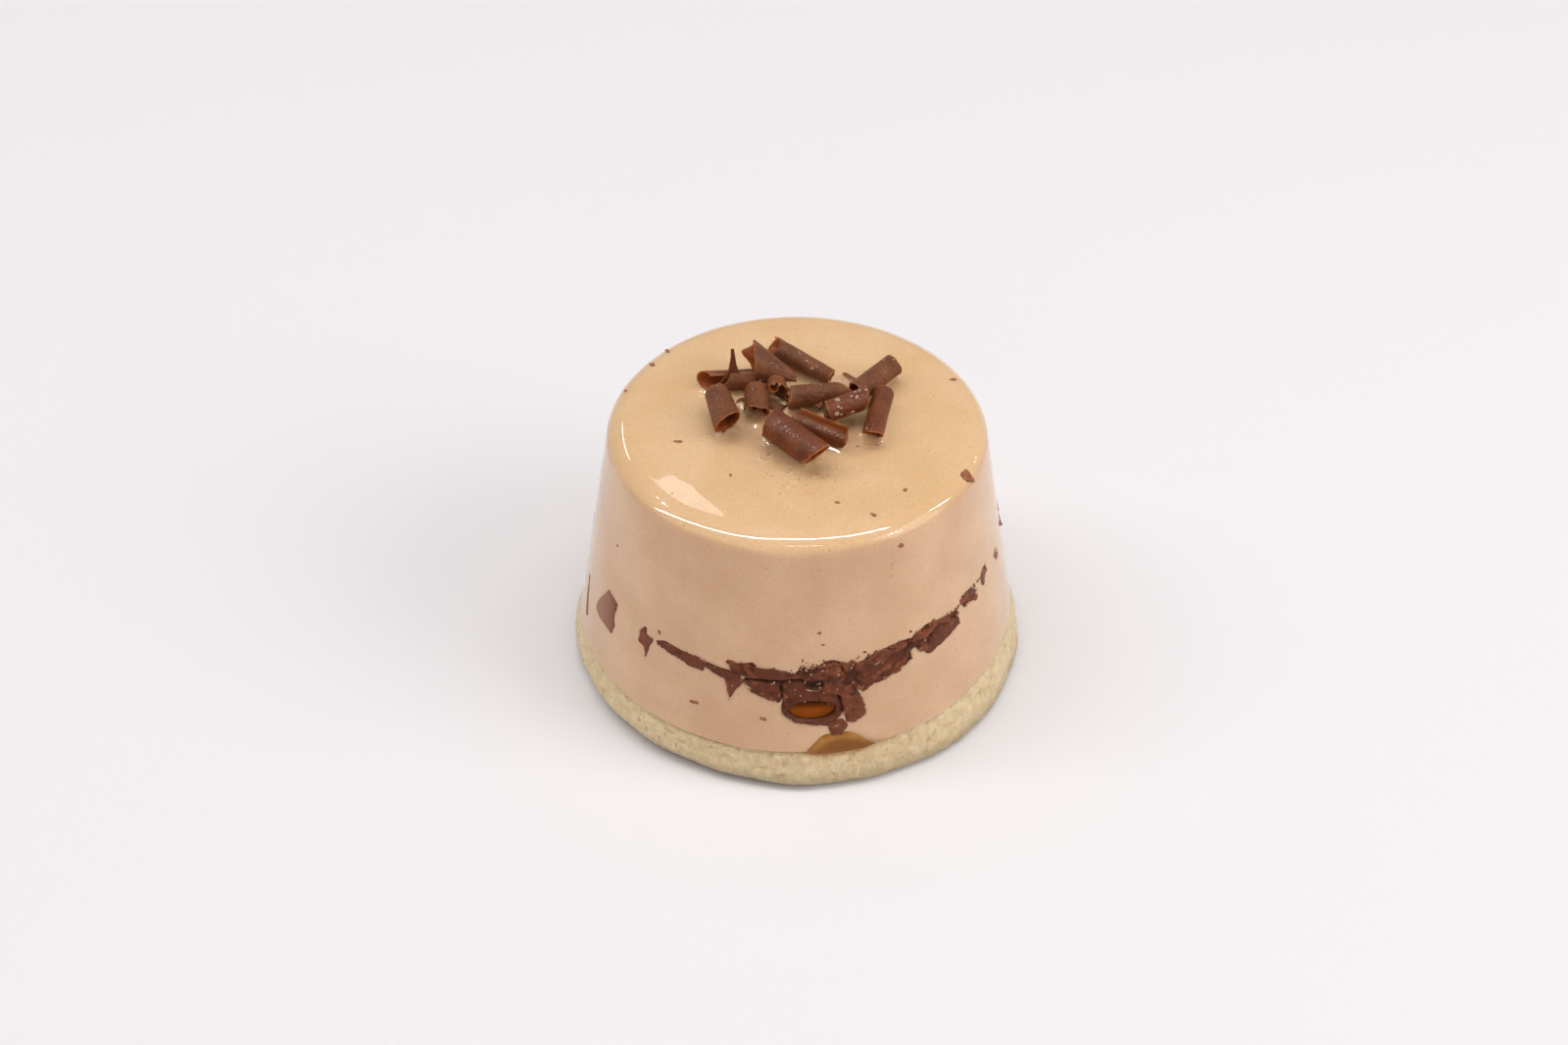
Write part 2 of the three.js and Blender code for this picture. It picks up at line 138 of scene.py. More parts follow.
def lumps(points, size, seed):
    """Smooth noise from -1 to 1 at each point, with lumps of about that size in millimetres."""
    cell = np.asarray(points, float) / size
    base = np.floor(cell).astype(np.int64)
    part = cell - base
    ease = part * part * (3 - 2 * part)
    total = np.zeros(cell.shape[:-1])
    for corner in product((0, 1), repeat=3):
        number = (base + np.array(corner)) @ LATTICE + seed * 40503
        number = (number ^ (number >> 13)) * 1274126177
        number = number ^ (number >> 16)
        weight = np.prod(np.where(np.array(corner) == 1, ease, 1 - ease), axis=-1)
        total += weight * ((number & 0xFFFF) / 32767.5 - 1)
    return total


def waves(points, layers):
    """Layers of smooth noise on each other. A layer is its height, the size of its lumps and its seed."""
    return sum(height * lumps(points, size, seed) for height, size, seed in layers)


def along_line(distance, size, seed):
    """The same noise along a line, for ragged edges."""
    flat = np.zeros(np.shape(distance))
    return lumps(np.stack([distance, flat, flat], -1), size, seed)


def smooth_step(value, low, high):
    """0 below low, 1 above high, and an even ease between them."""
    share = np.clip((value - low) / (high - low), 0, 1)
    return share * share * (3 - 2 * share)


def bell(distance, width):
    """1 at no distance, falling to 0 like a bell."""
    return np.exp(-((distance / width) ** 2))


# %% [markdown]
# ## The outline of the cake
# The cake was set in a tapered ring, so its side is a cone. The clear glaze has rounded the rim and lies a
# little thicker inside it, so the top falls gently before the rim turns down. The line between sponge and
# mousse rises a little at the right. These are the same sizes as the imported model's, so that each fine
# surface lies on its solid.

# %% Sizes and outline
CAKE_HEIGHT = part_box("mousse")[1].z / MM
BASE_RADIUS = 35.5
TOP_RADIUS = 28.4
RIM_DROP = 2.9
RIM_REACH = 3.2
RIM_HANDLE = 0.58
SHOULDER_START = 15
SHOULDER_FALL = 0.7
JOINT_HEIGHT = 7.1
JOINT_RISE = 1.6


def cone_radius(height):
    """Radius of the plain cone at a height."""
    return BASE_RADIUS - height / CAKE_HEIGHT * (BASE_RADIUS - TOP_RADIUS)


def joint_height(angle):
    """Height of the line between sponge and mousse."""
    return JOINT_HEIGHT + JOINT_RISE * np.maximum(0, np.sin(angle)) ** 3


def top_height(radius):
    """Height of the top at a distance from the axis."""
    share = np.maximum(0, radius - SHOULDER_START) / (TOP_RADIUS - SHOULDER_START)
    return CAKE_HEIGHT - SHOULDER_FALL * share**2


def rim_outline(count):
    """Radius and height of points on the rounded rim, from the side up to the top."""
    foot_height = CAKE_HEIGHT - RIM_DROP
    corner_height = CAKE_HEIGHT - SHOULDER_FALL
    head_radius = TOP_RADIUS - RIM_REACH
    foot = np.array([cone_radius(foot_height), foot_height])
    corner = np.array([cone_radius(corner_height), corner_height])
    head = np.array([head_radius, top_height(head_radius)])
    first = foot + (corner - foot) * RIM_HANDLE
    second = head + (corner - head) * RIM_HANDLE
    t = np.linspace(0, 1, count)[:, None]
    return (1 - t) ** 3 * foot + 3 * (1 - t) ** 2 * t * first + 3 * (1 - t) * t**2 * second + t**3 * head


def round_points(radius, height, angle):
    """Points in space from radius, height and angle."""
    return np.stack([radius * np.sin(angle), -radius * np.cos(angle), height], -1)


print("cake", round(CAKE_HEIGHT, 1), "mm high,", 2 * BASE_RADIUS, "mm across at its foot")

# %% [markdown]
# ## Helpers for materials
# A material is a tree of nodes. Small helpers keep the trees short: they add a node and fill its sockets
# with a value or with another node's output, do a sum, mix two colours, or lay a tint over a colour.
# Colours are written as they look on the screen, from 0 to 255, and turned into the linear values that the
# shader works with.


# %% Node helpers
def screen_color(red, green, blue):
    """A linear colour from the three values that a screen shows."""
    parts = [value / 255 for value in (red, green, blue)]
    return (*[x / 12.92 if x <= 0.04045 else ((x + 0.055) / 1.055) ** 2.4 for x in parts], 1)


def add_node(tree, kind, inputs, **settings):
    """Adds a node. inputs pairs a socket's name or number with a value or another node's output."""
    node = tree.nodes.new(kind)
    for setting, value in settings.items():
        setattr(node, setting, value)
    for socket, value in inputs.items():
        if isinstance(value, bpy.types.NodeSocket):
            tree.links.new(value, node.inputs[socket])
        else:
            node.inputs[socket].default_value = value
    return node


def math_node(tree, operation, *values):
    """The result of a Math node."""
    return add_node(tree, "ShaderNodeMath", dict(enumerate(values)), operation=operation).outputs[0]


def mixed(tree, factor, first, second):
    """A colour between two colours."""
    node = add_node(tree, "ShaderNodeMix", {0: factor, 6: first, 7: second}, data_type="RGBA")
    return node.outputs[2]


def ranged(tree, value, low, high, to_low=0.0, to_high=1.0):
    """A value eased from one range to another and held at both ends."""
    sockets = {"Value": value, "From Min": low, "From Max": high, "To Min": to_low, "To Max": to_high}
    return add_node(tree, "ShaderNodeMapRange", sockets, interpolation_type="SMOOTHSTEP").outputs["Result"]


def tinted(tree, body, color, value, span, shares=(0.0, 1.0)):
    """A colour laid over the body. Its share follows a value through a span, from one share to another."""
    return mixed(tree, ranged(tree, value, *span, *shares), body, screen_color(*color))


def mark(tree, name):
    """The value that the mesh carries under that name."""
    return add_node(tree, "ShaderNodeAttribute", {}, attribute_name=name).outputs["Fac"]


def object_place(tree):
    """The place of the shaded point in the cake's own frame, in metres."""
    return add_node(tree, "ShaderNodeTexCoord", {}).outputs["Object"]


def height_of(tree, place):
    """How high a place lies over the floor, in metres."""
    return add_node(tree, "ShaderNodeSeparateXYZ", {0: place}).outputs["Z"]


def new_material(name, **values):
    """A material whose Principled shader has these values on its own sockets."""
    material = bpy.data.materials.new(name)
    material.use_nodes = True
    shader = material.node_tree.nodes["Principled BSDF"]
    for socket, value in values.items():
        shader.inputs[socket.replace("_", " ")].default_value = value
    return material, material.node_tree, shader


# %% [markdown]
# ## Effects that several materials share
# Mottling is the slow, soft change of colour that all food has. Pores are the pits and bubbles of whipped
# and baked things: cells of a Voronoi pattern, cut down to a small dot in the middle of each cell, and only
# kept where a slower noise allows. Grain is the fine roughness that breaks up a shine. Each one is a node
# group, so that mousse, sponge and chocolate can use it with values of their own.


# %% Node groups
def new_group(name, inputs, outputs):
    """A node group with named sockets: inputs gives each one's kind and default value."""
    group = bpy.data.node_groups.new(name, "ShaderNodeTree")
    for socket, (kind, value) in inputs.items():
        made = group.interface.new_socket(socket, in_out="INPUT", socket_type="NodeSocket" + kind)
        made.default_value = value
    for socket, kind in outputs.items():
        group.interface.new_socket(socket, in_out="OUTPUT", socket_type="NodeSocket" + kind)
    return group, group.nodes.new("NodeGroupInput").outputs, group.nodes.new("NodeGroupOutput").inputs


def pattern_place(group, size):
    """The sockets that lay a pattern on the cake, with cells as large as a size in millimetres."""
    return {"Vector": object_place(group), "Scale": math_node(group, "DIVIDE", 1 / MM, size)}


def make_mottling():
    sockets = {"Size": ("Float", 5.0), "Contrast": ("Float", 0.5), "Dark": ("Color", (0, 0, 0, 1)),
               "Light": ("Color", (1, 1, 1, 1))}
    group, given, result = new_group("mottling", sockets, {"Color": "Color", "Mask": "Float"})
    inputs = {**pattern_place(group, given["Size"]), "Detail": 4.0}
    noise = add_node(group, "ShaderNodeTexNoise", inputs).outputs[0]
    low = math_node(group, "MULTIPLY_ADD", given["Contrast"], -0.5, 0.5)
    high = math_node(group, "MULTIPLY_ADD", given["Contrast"], 0.5, 0.51)
    mask = ranged(group, noise, low, high)
    group.links.new(mask, result["Mask"])
    group.links.new(mixed(group, mask, given["Dark"], given["Light"]), result["Color"])
    return group


def make_pores():
    sockets = {"Size": ("Float", 1.0), "Share": ("Float", 0.3), "Reach": ("Float", 0.3)}
    group, given, result = new_group("pores", sockets, {"Mask": "Float", "Height": "Float"})
    cells = add_node(group, "ShaderNodeTexVoronoi", pattern_place(group, given["Size"]))
    inner = math_node(group, "MULTIPLY", given["Reach"], 0.5)
    dot = ranged(group, cells.outputs["Distance"], inner, given["Reach"], 1.0, 0.0)
    chosen = add_node(group, "ShaderNodeSeparateColor", {0: cells.outputs["Color"]}).outputs[0]
    mask = math_node(group, "MULTIPLY", dot, math_node(group, "LESS_THAN", chosen, given["Share"]))
    group.links.new(mask, result["Mask"])
    group.links.new(math_node(group, "SUBTRACT", 1.0, mask), result["Height"])
    return group


def make_grain():
    sockets = {"Size": ("Float", 0.3), "Coarse": ("Float", 0.5)}
    group, given, result = new_group("grain", sockets, {"Height": "Float"})
    inputs = {**pattern_place(group, given["Size"]), "Detail": 3.0, "Roughness": given["Coarse"]}
    group.links.new(add_node(group, "ShaderNodeTexNoise", inputs).outputs[0], result["Height"])
    return group


MOTTLING = make_mottling()
PORES = make_pores()
GRAIN = make_grain()
print("node groups:", [group.name for group in bpy.data.node_groups])


# %% Place the groups in a material
def place_group(tree, group, inputs):
    """Places a node group in a material and returns its outputs."""
    return add_node(tree, "ShaderNodeGroup", inputs, node_tree=group).outputs


def mottled(tree, size, contrast, dark, light):
    """A mottled colour between two screen colours, with patches of a size in millimetres."""
    inputs = {"Size": size, "Contrast": contrast, "Dark": screen_color(*dark), "Light": screen_color(*light)}
    return place_group(tree, MOTTLING, inputs)["Color"]


def patches(tree, size, contrast):
    """The mask of the mottling, from 0 to 1."""
    return place_group(tree, MOTTLING, {"Size": size, "Contrast": contrast})["Mask"]


def pores(tree, size, share, reach):
    """The mask and the height of the pores."""
    return place_group(tree, PORES, {"Size": size, "Share": share, "Reach": reach})


def grain(tree, size, coarse):
    """The height of the grain."""
    return place_group(tree, GRAIN, {"Size": size, "Coarse": coarse})["Height"]


# %% Bump
def add_bump(tree, height, depth, under=None):
    """A Bump node: depth in millimetres, over the normal of another bump if there is one."""
    inputs = {"Height": height, "Distance": depth * MM, "Strength": 1.0}
    if under is not None:
        inputs["Normal"] = under
    return add_node(tree, "ShaderNodeBump", inputs).outputs["Normal"]


# %% [markdown]
# ## The curls
# A chocolate curl is a thin shaving that rolled up as the blade pushed it. So each one is a sheet, laid out
# along its own axis and wound round it, with a radius that opens from the inner to the outer edge. The ends
# are cut at a slant and torn, the free edges are thinner than the middle, and the sheet keeps small waves
# from the blade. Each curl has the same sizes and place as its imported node.

# %% The shape of each curl
# sheet: length, angles of the two free edges and radii there, then how the ends are cut and torn.
# place: x, y and height over the top, then heading and tilt.
SHEET = 0.45  # thickness of a shaving
CURLS = {
    "curl_front": {
        "sheet": {"length": 7.4, "turn": (-200, 185), "radii": (2.1, 2.7), "start": (2.0, 110),
                  "end": (3.4, 0)},
        "place": (-1.0, -8.5, 3.0, -48.5),
    },
    "curl_front_scroll": {
        "sheet": {"length": 8.0, "turn": (470, 66), "radii": (1.2, 2.15), "opening": 4, "end": (1.8, -50)},
        "place": (2.9, -5.1, 2.05, -33),
    },
    "curl_left_front": {
        "sheet": {"length": 5.5, "turn": (-195, 190), "radii": (1.6, 2.15), "taper": -0.4,
                  "end": (3.3, -50), "torn": 0.3},
        "place": (-11.55, -0.5, 2.95, -76),
    },
    "curl_spiked": {
        "sheet": {"length": 6.4, "turn": (-385, -20), "radii": (1.3, 1.8), "start": (2.4, 110),
                  "outer_start": 3.0},
        "place": (-9.6, 7.0, 2.1, 4),
    },
    "curl_cone": {
        "sheet": {"length": 5.2, "turn": (-100, 190), "radii": (3.1, 3.1), "taper": 2.4, "start": (3.2, 75),
                  "wing": (2.0, 120, 22), "end": (0.6, -50), "torn": 0.25},
        "place": (-2.8, 7.3, 3.25, -25, -9),
    },
    "curl_back": {
        "sheet": {"length": 9.4, "turn": (-195, 175), "radii": (1.3, 1.9), "taper": 0.3,
                  "start": (3.4, 139), "end": (1.2, -40)},
        "place": (1.15, 10.7, 2.2, -42),
    },
    "curl_barrel": {
        "sheet": {"length": 3.5, "turn": (-100, 240), "radii": (2.0, 0.8), "opening": 4,
                  "end": (2.7, 12), "torn": 0.3},
        "place": (-6.0, 2.8, 1.5, -90),
    },
    "curl_tight_scroll": {
        "sheet": {"length": 1.8, "turn": (-300, 150), "radii": (0.76, 2.9), "opening": 4, "torn": 0.15},
        "place": (-3.6, 4.3, 2.92, -86),
    },
    "curl_middle_right": {
        "sheet": {"length": 6.4, "turn": (-190, 175), "radii": (1.5, 2.1), "taper": 0.3,
                  "start": (1.0, -120), "end": (2.8, -95)},
        "place": (2.5, 2.5, 2.4, 11),
    },
    "curl_right_back": {
        "sheet": {"length": 8.3, "turn": (-190, 180), "radii": (1.5, 2.05), "start": (0.8, -60),
                  "end": (0.88, 140)},
        "place": (11.98, 6.5, 2.42, 50),
    },
    "curl_dewy": {
        "sheet": {"length": 4.8, "turn": (-190, 165), "radii": (1.45, 2.0), "start": (0.9, -60),
                  "end": (1.6, 30), "torn": 0.2},
        "place": (7.12, -1.33, 3.27, 27, 3),
    },
    "curl_right_front": {
        "sheet": {"length": 8.6, "turn": (-190, 175), "radii": (1.3, 1.85), "end": (2.8, 0)},
        "place": (12.1, -0.9, 2.15, -101),
    },
    "curl_splinter": {
        "sheet": {"length": 3.2, "turn": (-35, 35), "radii": (0.55, 0.55), "cells": (30, 12)},
        "place": (8.2, 8.9, 0.6, -56, 13),
    },
}
CURL_CELLS = (54, 112)
EDGE_THINNING = 0.35  # how far from a free edge the shaving thins out
EDGE_THICKNESS = 0.4  # share of the thickness left at the very edge
EDGE_GLOW = 0.3  # how far from a free edge light shines through
COARSE_TEAR, FINE_TEAR = 0.7, 0.3  # shares of the coarse and the fine tears in a torn edge
CUT_BACK_FROM = 0.6  # share of the way round from where the start can be cut back
WAVE_HEIGHT, WAVE_LENGTH = 0.035, 1.6  # waves that the blade left
RIDGE_HEIGHT, RIDGE_WIDTH = 0.018, 0.3
RIDGE_STRETCH = 3  # ridges are this many times as long as they are wide
WAVE_LIMIT = 0.02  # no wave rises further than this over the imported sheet


# %% Roll a sheet
def sheet_grid(cells):
    """along and around from 0 to 1 for both faces of a sheet, and the faces that close it."""
    cells_along, cells_around = cells
    along, around = np.meshgrid(np.linspace(0, 1, cells_along + 1), np.linspace(0, 1, cells_around + 1),
                                indexing="ij")
    rows, columns = along.shape
    count = rows * columns
    outer = grid_faces(rows, columns)
    inner = grid_faces(rows, columns, first=count)[:, ::-1]
    index = np.arange(count).reshape(rows, columns)
    border = np.concatenate([index[0, :-1], index[:-1, -1], index[-1, :0:-1], index[:0:-1, 0]])
    after = np.roll(border, -1)
    rim = np.stack([after, border, border + count, after + count], -1)
    return along, around, np.concatenate([outer, inner, rim])


def outward(points, faces):
    """The faces as a list, turned so that they point out of the closed mesh."""
    a, b, c = (points[faces[:, k]] for k in (0, 1, 2))
    volume = np.einsum("ij,ij->i", a, np.cross(b, c)).sum()
    if faces.shape[1] == 4:
        volume += np.einsum("ij,ij->i", a, np.cross(c, points[faces[:, 3]])).sum()
    return (faces if volume > 0 else faces[:, ::-1]).tolist()


def torn_edge(distance, coarse, fine, seed):
    """A torn edge along a line: coarse tears with finer ones on them."""
    tears = COARSE_TEAR * along_line(distance, coarse, seed)
    return tears + FINE_TEAR * along_line(distance, fine, seed + 1)


def slanted_cut(angle, reach, longest):
    """How much further a slanted end reaches at each angle. It reaches furthest at one angle, in degrees."""
    return 0.5 * reach * (1 + np.cos(angle - math.radians(longest)))


def rolled_sheet(seed, length, turn, radii, opening=1, taper=0, start=(0, 0), end=(0, 0), wing=(0, 0, 1),
                 outer_start=0, torn=0.12, cells=CURL_CELLS):
    """Points, faces and marks of a rolled shaving about its own X axis, with 0 degrees at its top."""
    along, around, faces = sheet_grid(cells)
    swept = turn[1] - turn[0]
    arc = math.radians(abs(swept)) * sum(radii) / 2
    tear = torn * torn_edge(around * arc, 0.8, 0.25, seed)
    far_tear = torn * torn_edge(around * arc, 0.7, 0.2, seed + 2)
    side_tear = 0.5 * torn * along_line(along * length, 0.6, seed + 4) * smooth_step(around, 0.8, 1)
    angle = np.radians(turn[0] + swept * around) + side_tear / radii[1] * np.sign(swept)
    flap = wing[0] * bell(np.degrees(angle) - wing[1], wing[2])
    cut_back = outer_start * np.maximum(0, around - CUT_BACK_FROM) / (1 - CUT_BACK_FROM)
    from_x = -length / 2 - slanted_cut(angle, *start) - flap + cut_back + tear
    to_x = length / 2 + slanted_cut(angle, *end) + far_tear
    from_end = np.minimum(along, 1 - along) * (to_x - from_x)
    to_edge = np.minimum(from_end, np.minimum(around, 1 - around) * arc)
    thin = bell(to_edge, EDGE_THINNING)
    faces_made = []
    for face in (0, 1):
        x = from_x + (to_x - from_x) * along
        radius = radii[0] + (radii[1] - radii[0]) * around**opening - taper * along
        wave = WAVE_HEIGHT * lumps(np.stack([x, radius * angle, 0 * x], -1), WAVE_LENGTH, seed + 5)
        ridged = np.stack([x / RIDGE_STRETCH, radius * angle, 0 * x], -1)
        wave += RIDGE_HEIGHT * lumps(ridged, RIDGE_WIDTH, seed + 6)
        depth = face * SHEET * (1 - (1 - EDGE_THICKNESS) * thin)
        radius = radius + np.minimum(wave, WAVE_LIMIT) - depth
        faces_made.append(np.stack([x, radius * np.sin(angle), radius * np.cos(angle)], -1).reshape(-1, 3))
    points = np.concatenate(faces_made)
    marks = {"thin": np.tile(np.exp(-to_edge / EDGE_GLOW).ravel(), 2),
             "inside": np.repeat([0.0, 1.0], along.size)}
    return points, outward(points, faces), marks


# %% The sliver on the spiked curl
SPIKE = {"at": -0.05, "side": -0.6, "foot": 0.9, "height": 5.1, "half_width": 0.3, "spread": 1.8,
         "decay": 4.5}
SPIKE_THICKNESS = 0.23  # from its middle plane to a face
SPIKE_BEND = 0.25


def torn_spike(seed, at, side, foot, height, half_width, spread, decay):
    """The torn sliver that stands up from the free edge of a roll: wide at its foot and thin above."""
    up, across, faces = sheet_grid((60, 24))
    width = half_width * (1 - 0.35 * up**6) + spread * np.exp(-decay * up)
    bend = SPIKE_BEND * np.sin(up * 2.2)
    sideways = 2 * across - 1
    made = []
    for face in (-1, 1):
        thickness = SPIKE_THICKNESS * (1 - 0.4 * up)
        thickness = thickness * np.sqrt(1 - 0.96 * sideways**2) * np.sqrt(1 - 0.98 * up**8)
        x = at + sideways * width * (1 - 0.3 * sideways * np.exp(-3 * up))
        x = x + 0.12 * along_line(up * height, 1.2, seed)
        y = side + bend + face * thickness - 0.9 * sideways**2 * np.exp(-5 * up)
        z = foot + height * up - 0.9 * sideways**2 * np.exp(-6 * up)
        made.append(np.stack([x, y, z], -1).reshape(-1, 3))
    points = np.concatenate(made)
    edge = np.tile(np.exp(-((1 - np.abs(sideways)) * width) / 0.2).ravel(), 2)
    return points, outward(points, faces), {"thin": 0.5 * edge, "inside": 0 * edge}


# %% Lay the curls on the cake
def joined(first, second):
    """Two meshes with marks as one."""
    points, faces, marks = first
    more_points, more_faces, more_marks = second
    shifted = [[corner + len(points) for corner in face] for face in more_faces]
    both = {name: np.concatenate([marks[name], more_marks[name]]) for name in marks}
    return np.concatenate([points, more_points]), faces + shifted, both


def laid(points, x, y, lift, heading, tilt=0):
    """Points of a curl turned to its heading and tilt and laid on the top of the cake."""
    turn = Euler((0, -math.radians(tilt), math.radians(heading)), "XYZ").to_matrix()
    return points @ np.array(turn).T + np.array([x, y, CAKE_HEIGHT + lift])


curl_meshes = {}
for number, (name, curl) in enumerate(CURLS.items()):
    made = rolled_sheet(100 + 10 * number, **curl["sheet"])
    if name == "curl_spiked":
        made = joined(made, torn_spike(7, **SPIKE))
    points, faces, marks = made
    curl_meshes[name] = (laid(points, *curl["place"]), faces, marks)
print("curls rolled:", len(curl_meshes))

# %% [markdown]
# ## Curl chocolate
# Milk chocolate that has been shaved is satin, not shiny: the blade leaves fine ridges. Thin edges let
# light through and look orange-brown, and so does the inside of a roll. The mesh carries both as marks, so
# the material can mix in the lighter browns only there, and some scattering under the surface softens them.


# %% Make the curl chocolate
def make_curl_chocolate(name, wet, dark, light, bloom):
    """wet is the share of clear glaze over the shaving, bloom how far the pale dust of the blade shows."""
    material, tree, shader = new_material(
        name, Roughness=0.46, Subsurface_Weight=0.2, Subsurface_Radius=(1.0, 0.45, 0.2),
        Subsurface_Scale=0.0008, Coat_Weight=wet, Coat_Roughness=0.09, Coat_IOR=1.5, Specular_IOR_Level=0.06)
    body = mottled(tree, 3.0, 0.6, dark, light)
    dusted = tinted(tree, body, (156, 108, 74), patches(tree, 0.35, 0.3), (0.3, 1.0), (0.0, bloom))
    inner = mixed(tree, mark(tree, "inside"), dusted, screen_color(146, 72, 26))
    reach = ranged(tree, patches(tree, 1.3, 0.35), 0.0, 1.0, 0.15, 0.95)
    edge = math_node(tree, "MULTIPLY", ranged(tree, mark(tree, "thin"), 0.2, 1.0), reach)
    tree.links.new(mixed(tree, edge, inner, screen_color(178, 108, 58)), shader.inputs["Base Color"])
    satin = add_bump(tree, grain(tree, 0.28, 0.65), 0.06)
    tree.links.new(satin, shader.inputs["Normal"])
    tree.links.new(add_bump(tree, grain(tree, 0.4, 0.7), 0.24, satin), shader.inputs["Coat Normal"])
    return material


curl_chocolate = make_curl_chocolate("curl_chocolate", 0.16, (96, 52, 29), (130, 77, 47), 0.256)
wet_curl_chocolate = make_curl_chocolate("curl_chocolate_wet", 0.3, (94, 40, 12), (124, 57, 20), 0.2)
WET_CURLS = ("curl_front", "curl_front_scroll", "curl_dewy", "curl_right_front")
for name, shaving in curl_meshes.items():
    look = wet_curl_chocolate if name in WET_CURLS else curl_chocolate
    add_piece(name + "_shaving", shaving, look, (name,))

# %% [markdown]
# ## The broken chocolate at the side
# The bed is crushed chocolate, so what shows at the side is a row of broken pieces, cut off flush by the
# ring. Each piece is an outline on the side of the cake. The surface over it is a height: sunk deep outside
# the outline, level with the mousse inside it, and ragged where it crosses from one to the other. In the
# crushed parts many small shards, each with a level and a tilt of its own, lie over that. The highest one
# shows, as in a real heap. At the front one curl points outwards, and its mouth is a deep oval with a lip.

# %% Outlines of the pieces that show
# Corners are (angle in degrees, height in millimetres). "broken" pieces are covered with small shards of
# every brown, and "worn" ones have fewer, all of them dark.
SHOWING_FLAKES = [
    ("whole", [(-70.5, 15.6), (-66.5, 15), (-59.6, 15.4), (-58.6, 17), (-59.4, 18.6), (-58.2, 21.4),
               (-63.5, 21.9), (-68.5, 18)]),
    ("whole", [(-47.4, 20.6), (-45.2, 22.2), (-44.6, 20.8), (-42, 20.7), (-43.4, 19), (-44.2, 16.7),
               (-45, 18.5), (-47, 18.7)]),
    ("whole", [(-41, 20.9), (-38.2, 21.7), (-25, 21.2), (-25.4, 19.6), (-28.5, 19.5), (-40.6, 20.4)]),
    ("whole", [(-26.5, 21.2), (-15.5, 20.6), (-15, 19.3), (-19, 19), (-26, 20.4)]),
    ("whole", [(-20, 19.9), (-14.5, 19.7), (-14.5, 18.9), (-16.6, 17.4), (-18, 15.5), (-18.6, 17.6)]),
    ("broken", [(-19.5, 22.2), (-18.6, 22.7), (-16, 22.3), (-11.6, 23), (-10.8, 21.9), (-6, 22.2), (0, 20.8),
                (-4, 19.4), (-17, 20.1)]),
    ("broken", [(-14.2, 20.2), (-3, 20.6), (-2.8, 16.6), (-8, 16.7), (-12, 17.6), (-14.6, 19.3)]),
    ("worn", [(-4.4, 21.4), (-3.9, 16), (-3.2, 14.1), (-0.5, 12.9), (4, 12.1), (8.6, 11.9), (11, 13.4),
               (11, 21.4)]),
    ("worn", [(9, 20.8), (14, 20.8), (16, 17.4), (17.7, 13.4), (16.5, 12.3), (12.8, 13.2), (10, 14.6)]),
    ("whole", [(7.6, 12.6), (11.5, 12.9), (13, 11.6), (11.6, 10.4), (8.6, 10.3)]),
    ("broken", [(-1, 21.4), (1, 22.6), (4, 22.2), (7.5, 23.5), (9.5, 23.6), (13, 22.6), (17, 22.4),
                (21, 23.4), (17.5, 17.2), (8, 19)]),
    ("broken", [(16.8, 22.4), (21, 23.4), (28, 24), (32.3, 23.8), (32, 20.2), (30.4, 19.4), (24, 18.2),
                (20.5, 18), (17, 16.9)]),
    ("broken", [(31.8, 23.6), (37, 24.9), (42, 24.4), (49.5, 23.9), (49.6, 21.2), (37.4, 19.4), (35, 20.8),
                (31.8, 22)]),
    ("whole", [(36.6, 20.6), (37.6, 19.5), (49.4, 21.3), (49.2, 22.4), (46.5, 23.3), (38, 22)]),
    ("broken", [(50.8, 24.2), (52, 25.4), (56.8, 25.4), (59.6, 23.6), (59, 22.3), (52.5, 23.2)]),
    ("broken", [(62, 24.9), (63.6, 26.1), (66.2, 26.2), (65.2, 24.6), (62.6, 23.4)]),
    ("broken", [(72.4, 24.6), (74.5, 25.6), (77, 24), (75, 22.6)]),
    ("whole", [(-11.4, 22.1), (-6.4, 22.1), (-1.8, 21.6), (-1.8, 20.4), (-6.4, 20.1), (-11.2, 20.7)]),
    ("whole", [(-13.6, 19.1), (-8.2, 19.8), (-4.6, 19), (-4.6, 16.9), (-8.2, 16.7), (-11.6, 17.7)]),
    ("whole", [(10.6, 17.4), (15.4, 17.2), (17, 16), (18, 13), (14.6, 11.8), (12.8, 12.2), (11.8, 15)]),
    ("whole", [(-81.5, 17), (-80, 17.5), (-78.3, 13.6), (-76.4, 10.8), (-77.6, 10.6), (-79.8, 13.4)]),
    ("whole", [(6.6, 19.9), (11.8, 19.1), (14.8, 17.5), (10.6, 17.2), (7.2, 18.1)]),
    ("whole", [(-2.8, 19.4), (0.6, 18.8), (6.6, 17.7), (10.6, 15.8), (7.6, 16.8), (1.8, 17.3),
               (-2.2, 16.8)]),
]

# Gaps between the pieces, and one hollow over the mouth.
SHOWING_GAPS = [
    [(1.6, 20.2), (6.6, 20.1), (6.8, 18.9), (1.8, 18.9)],
    [(-3, 20.5), (1.6, 20.5), (1.6, 20.0), (-3, 20.1)],
    [(10.4, 17.4), (11.1, 17.2), (12.5, 13), (11.8, 13)],
    [(-14, 20), (-8, 20.2), (-3, 20.3), (-3, 19.8), (-14, 19.5)],
    [(-4.6, 19.6), (-3.9, 19.6), (-3.5, 16), (-4.2, 16)],
]

# %% The pieces at the back, which carry on in the same way
# The bed is a disc that slopes up towards the right, and the pieces lie along its edge.
BACK_FROM = 92
BACK_TO = 264
BACK_PIECES = 22
BACK_HALF, BACK_RISE, BACK_FALL = (3.5, 7.5), (1, 2.4), (1, 4)  # half of the angle, height over and under
BED_RADIUS = 30.5
BED_THICKNESS = 2.2
BED_HEIGHT = 21.5
BED_SLOPE = 0.06


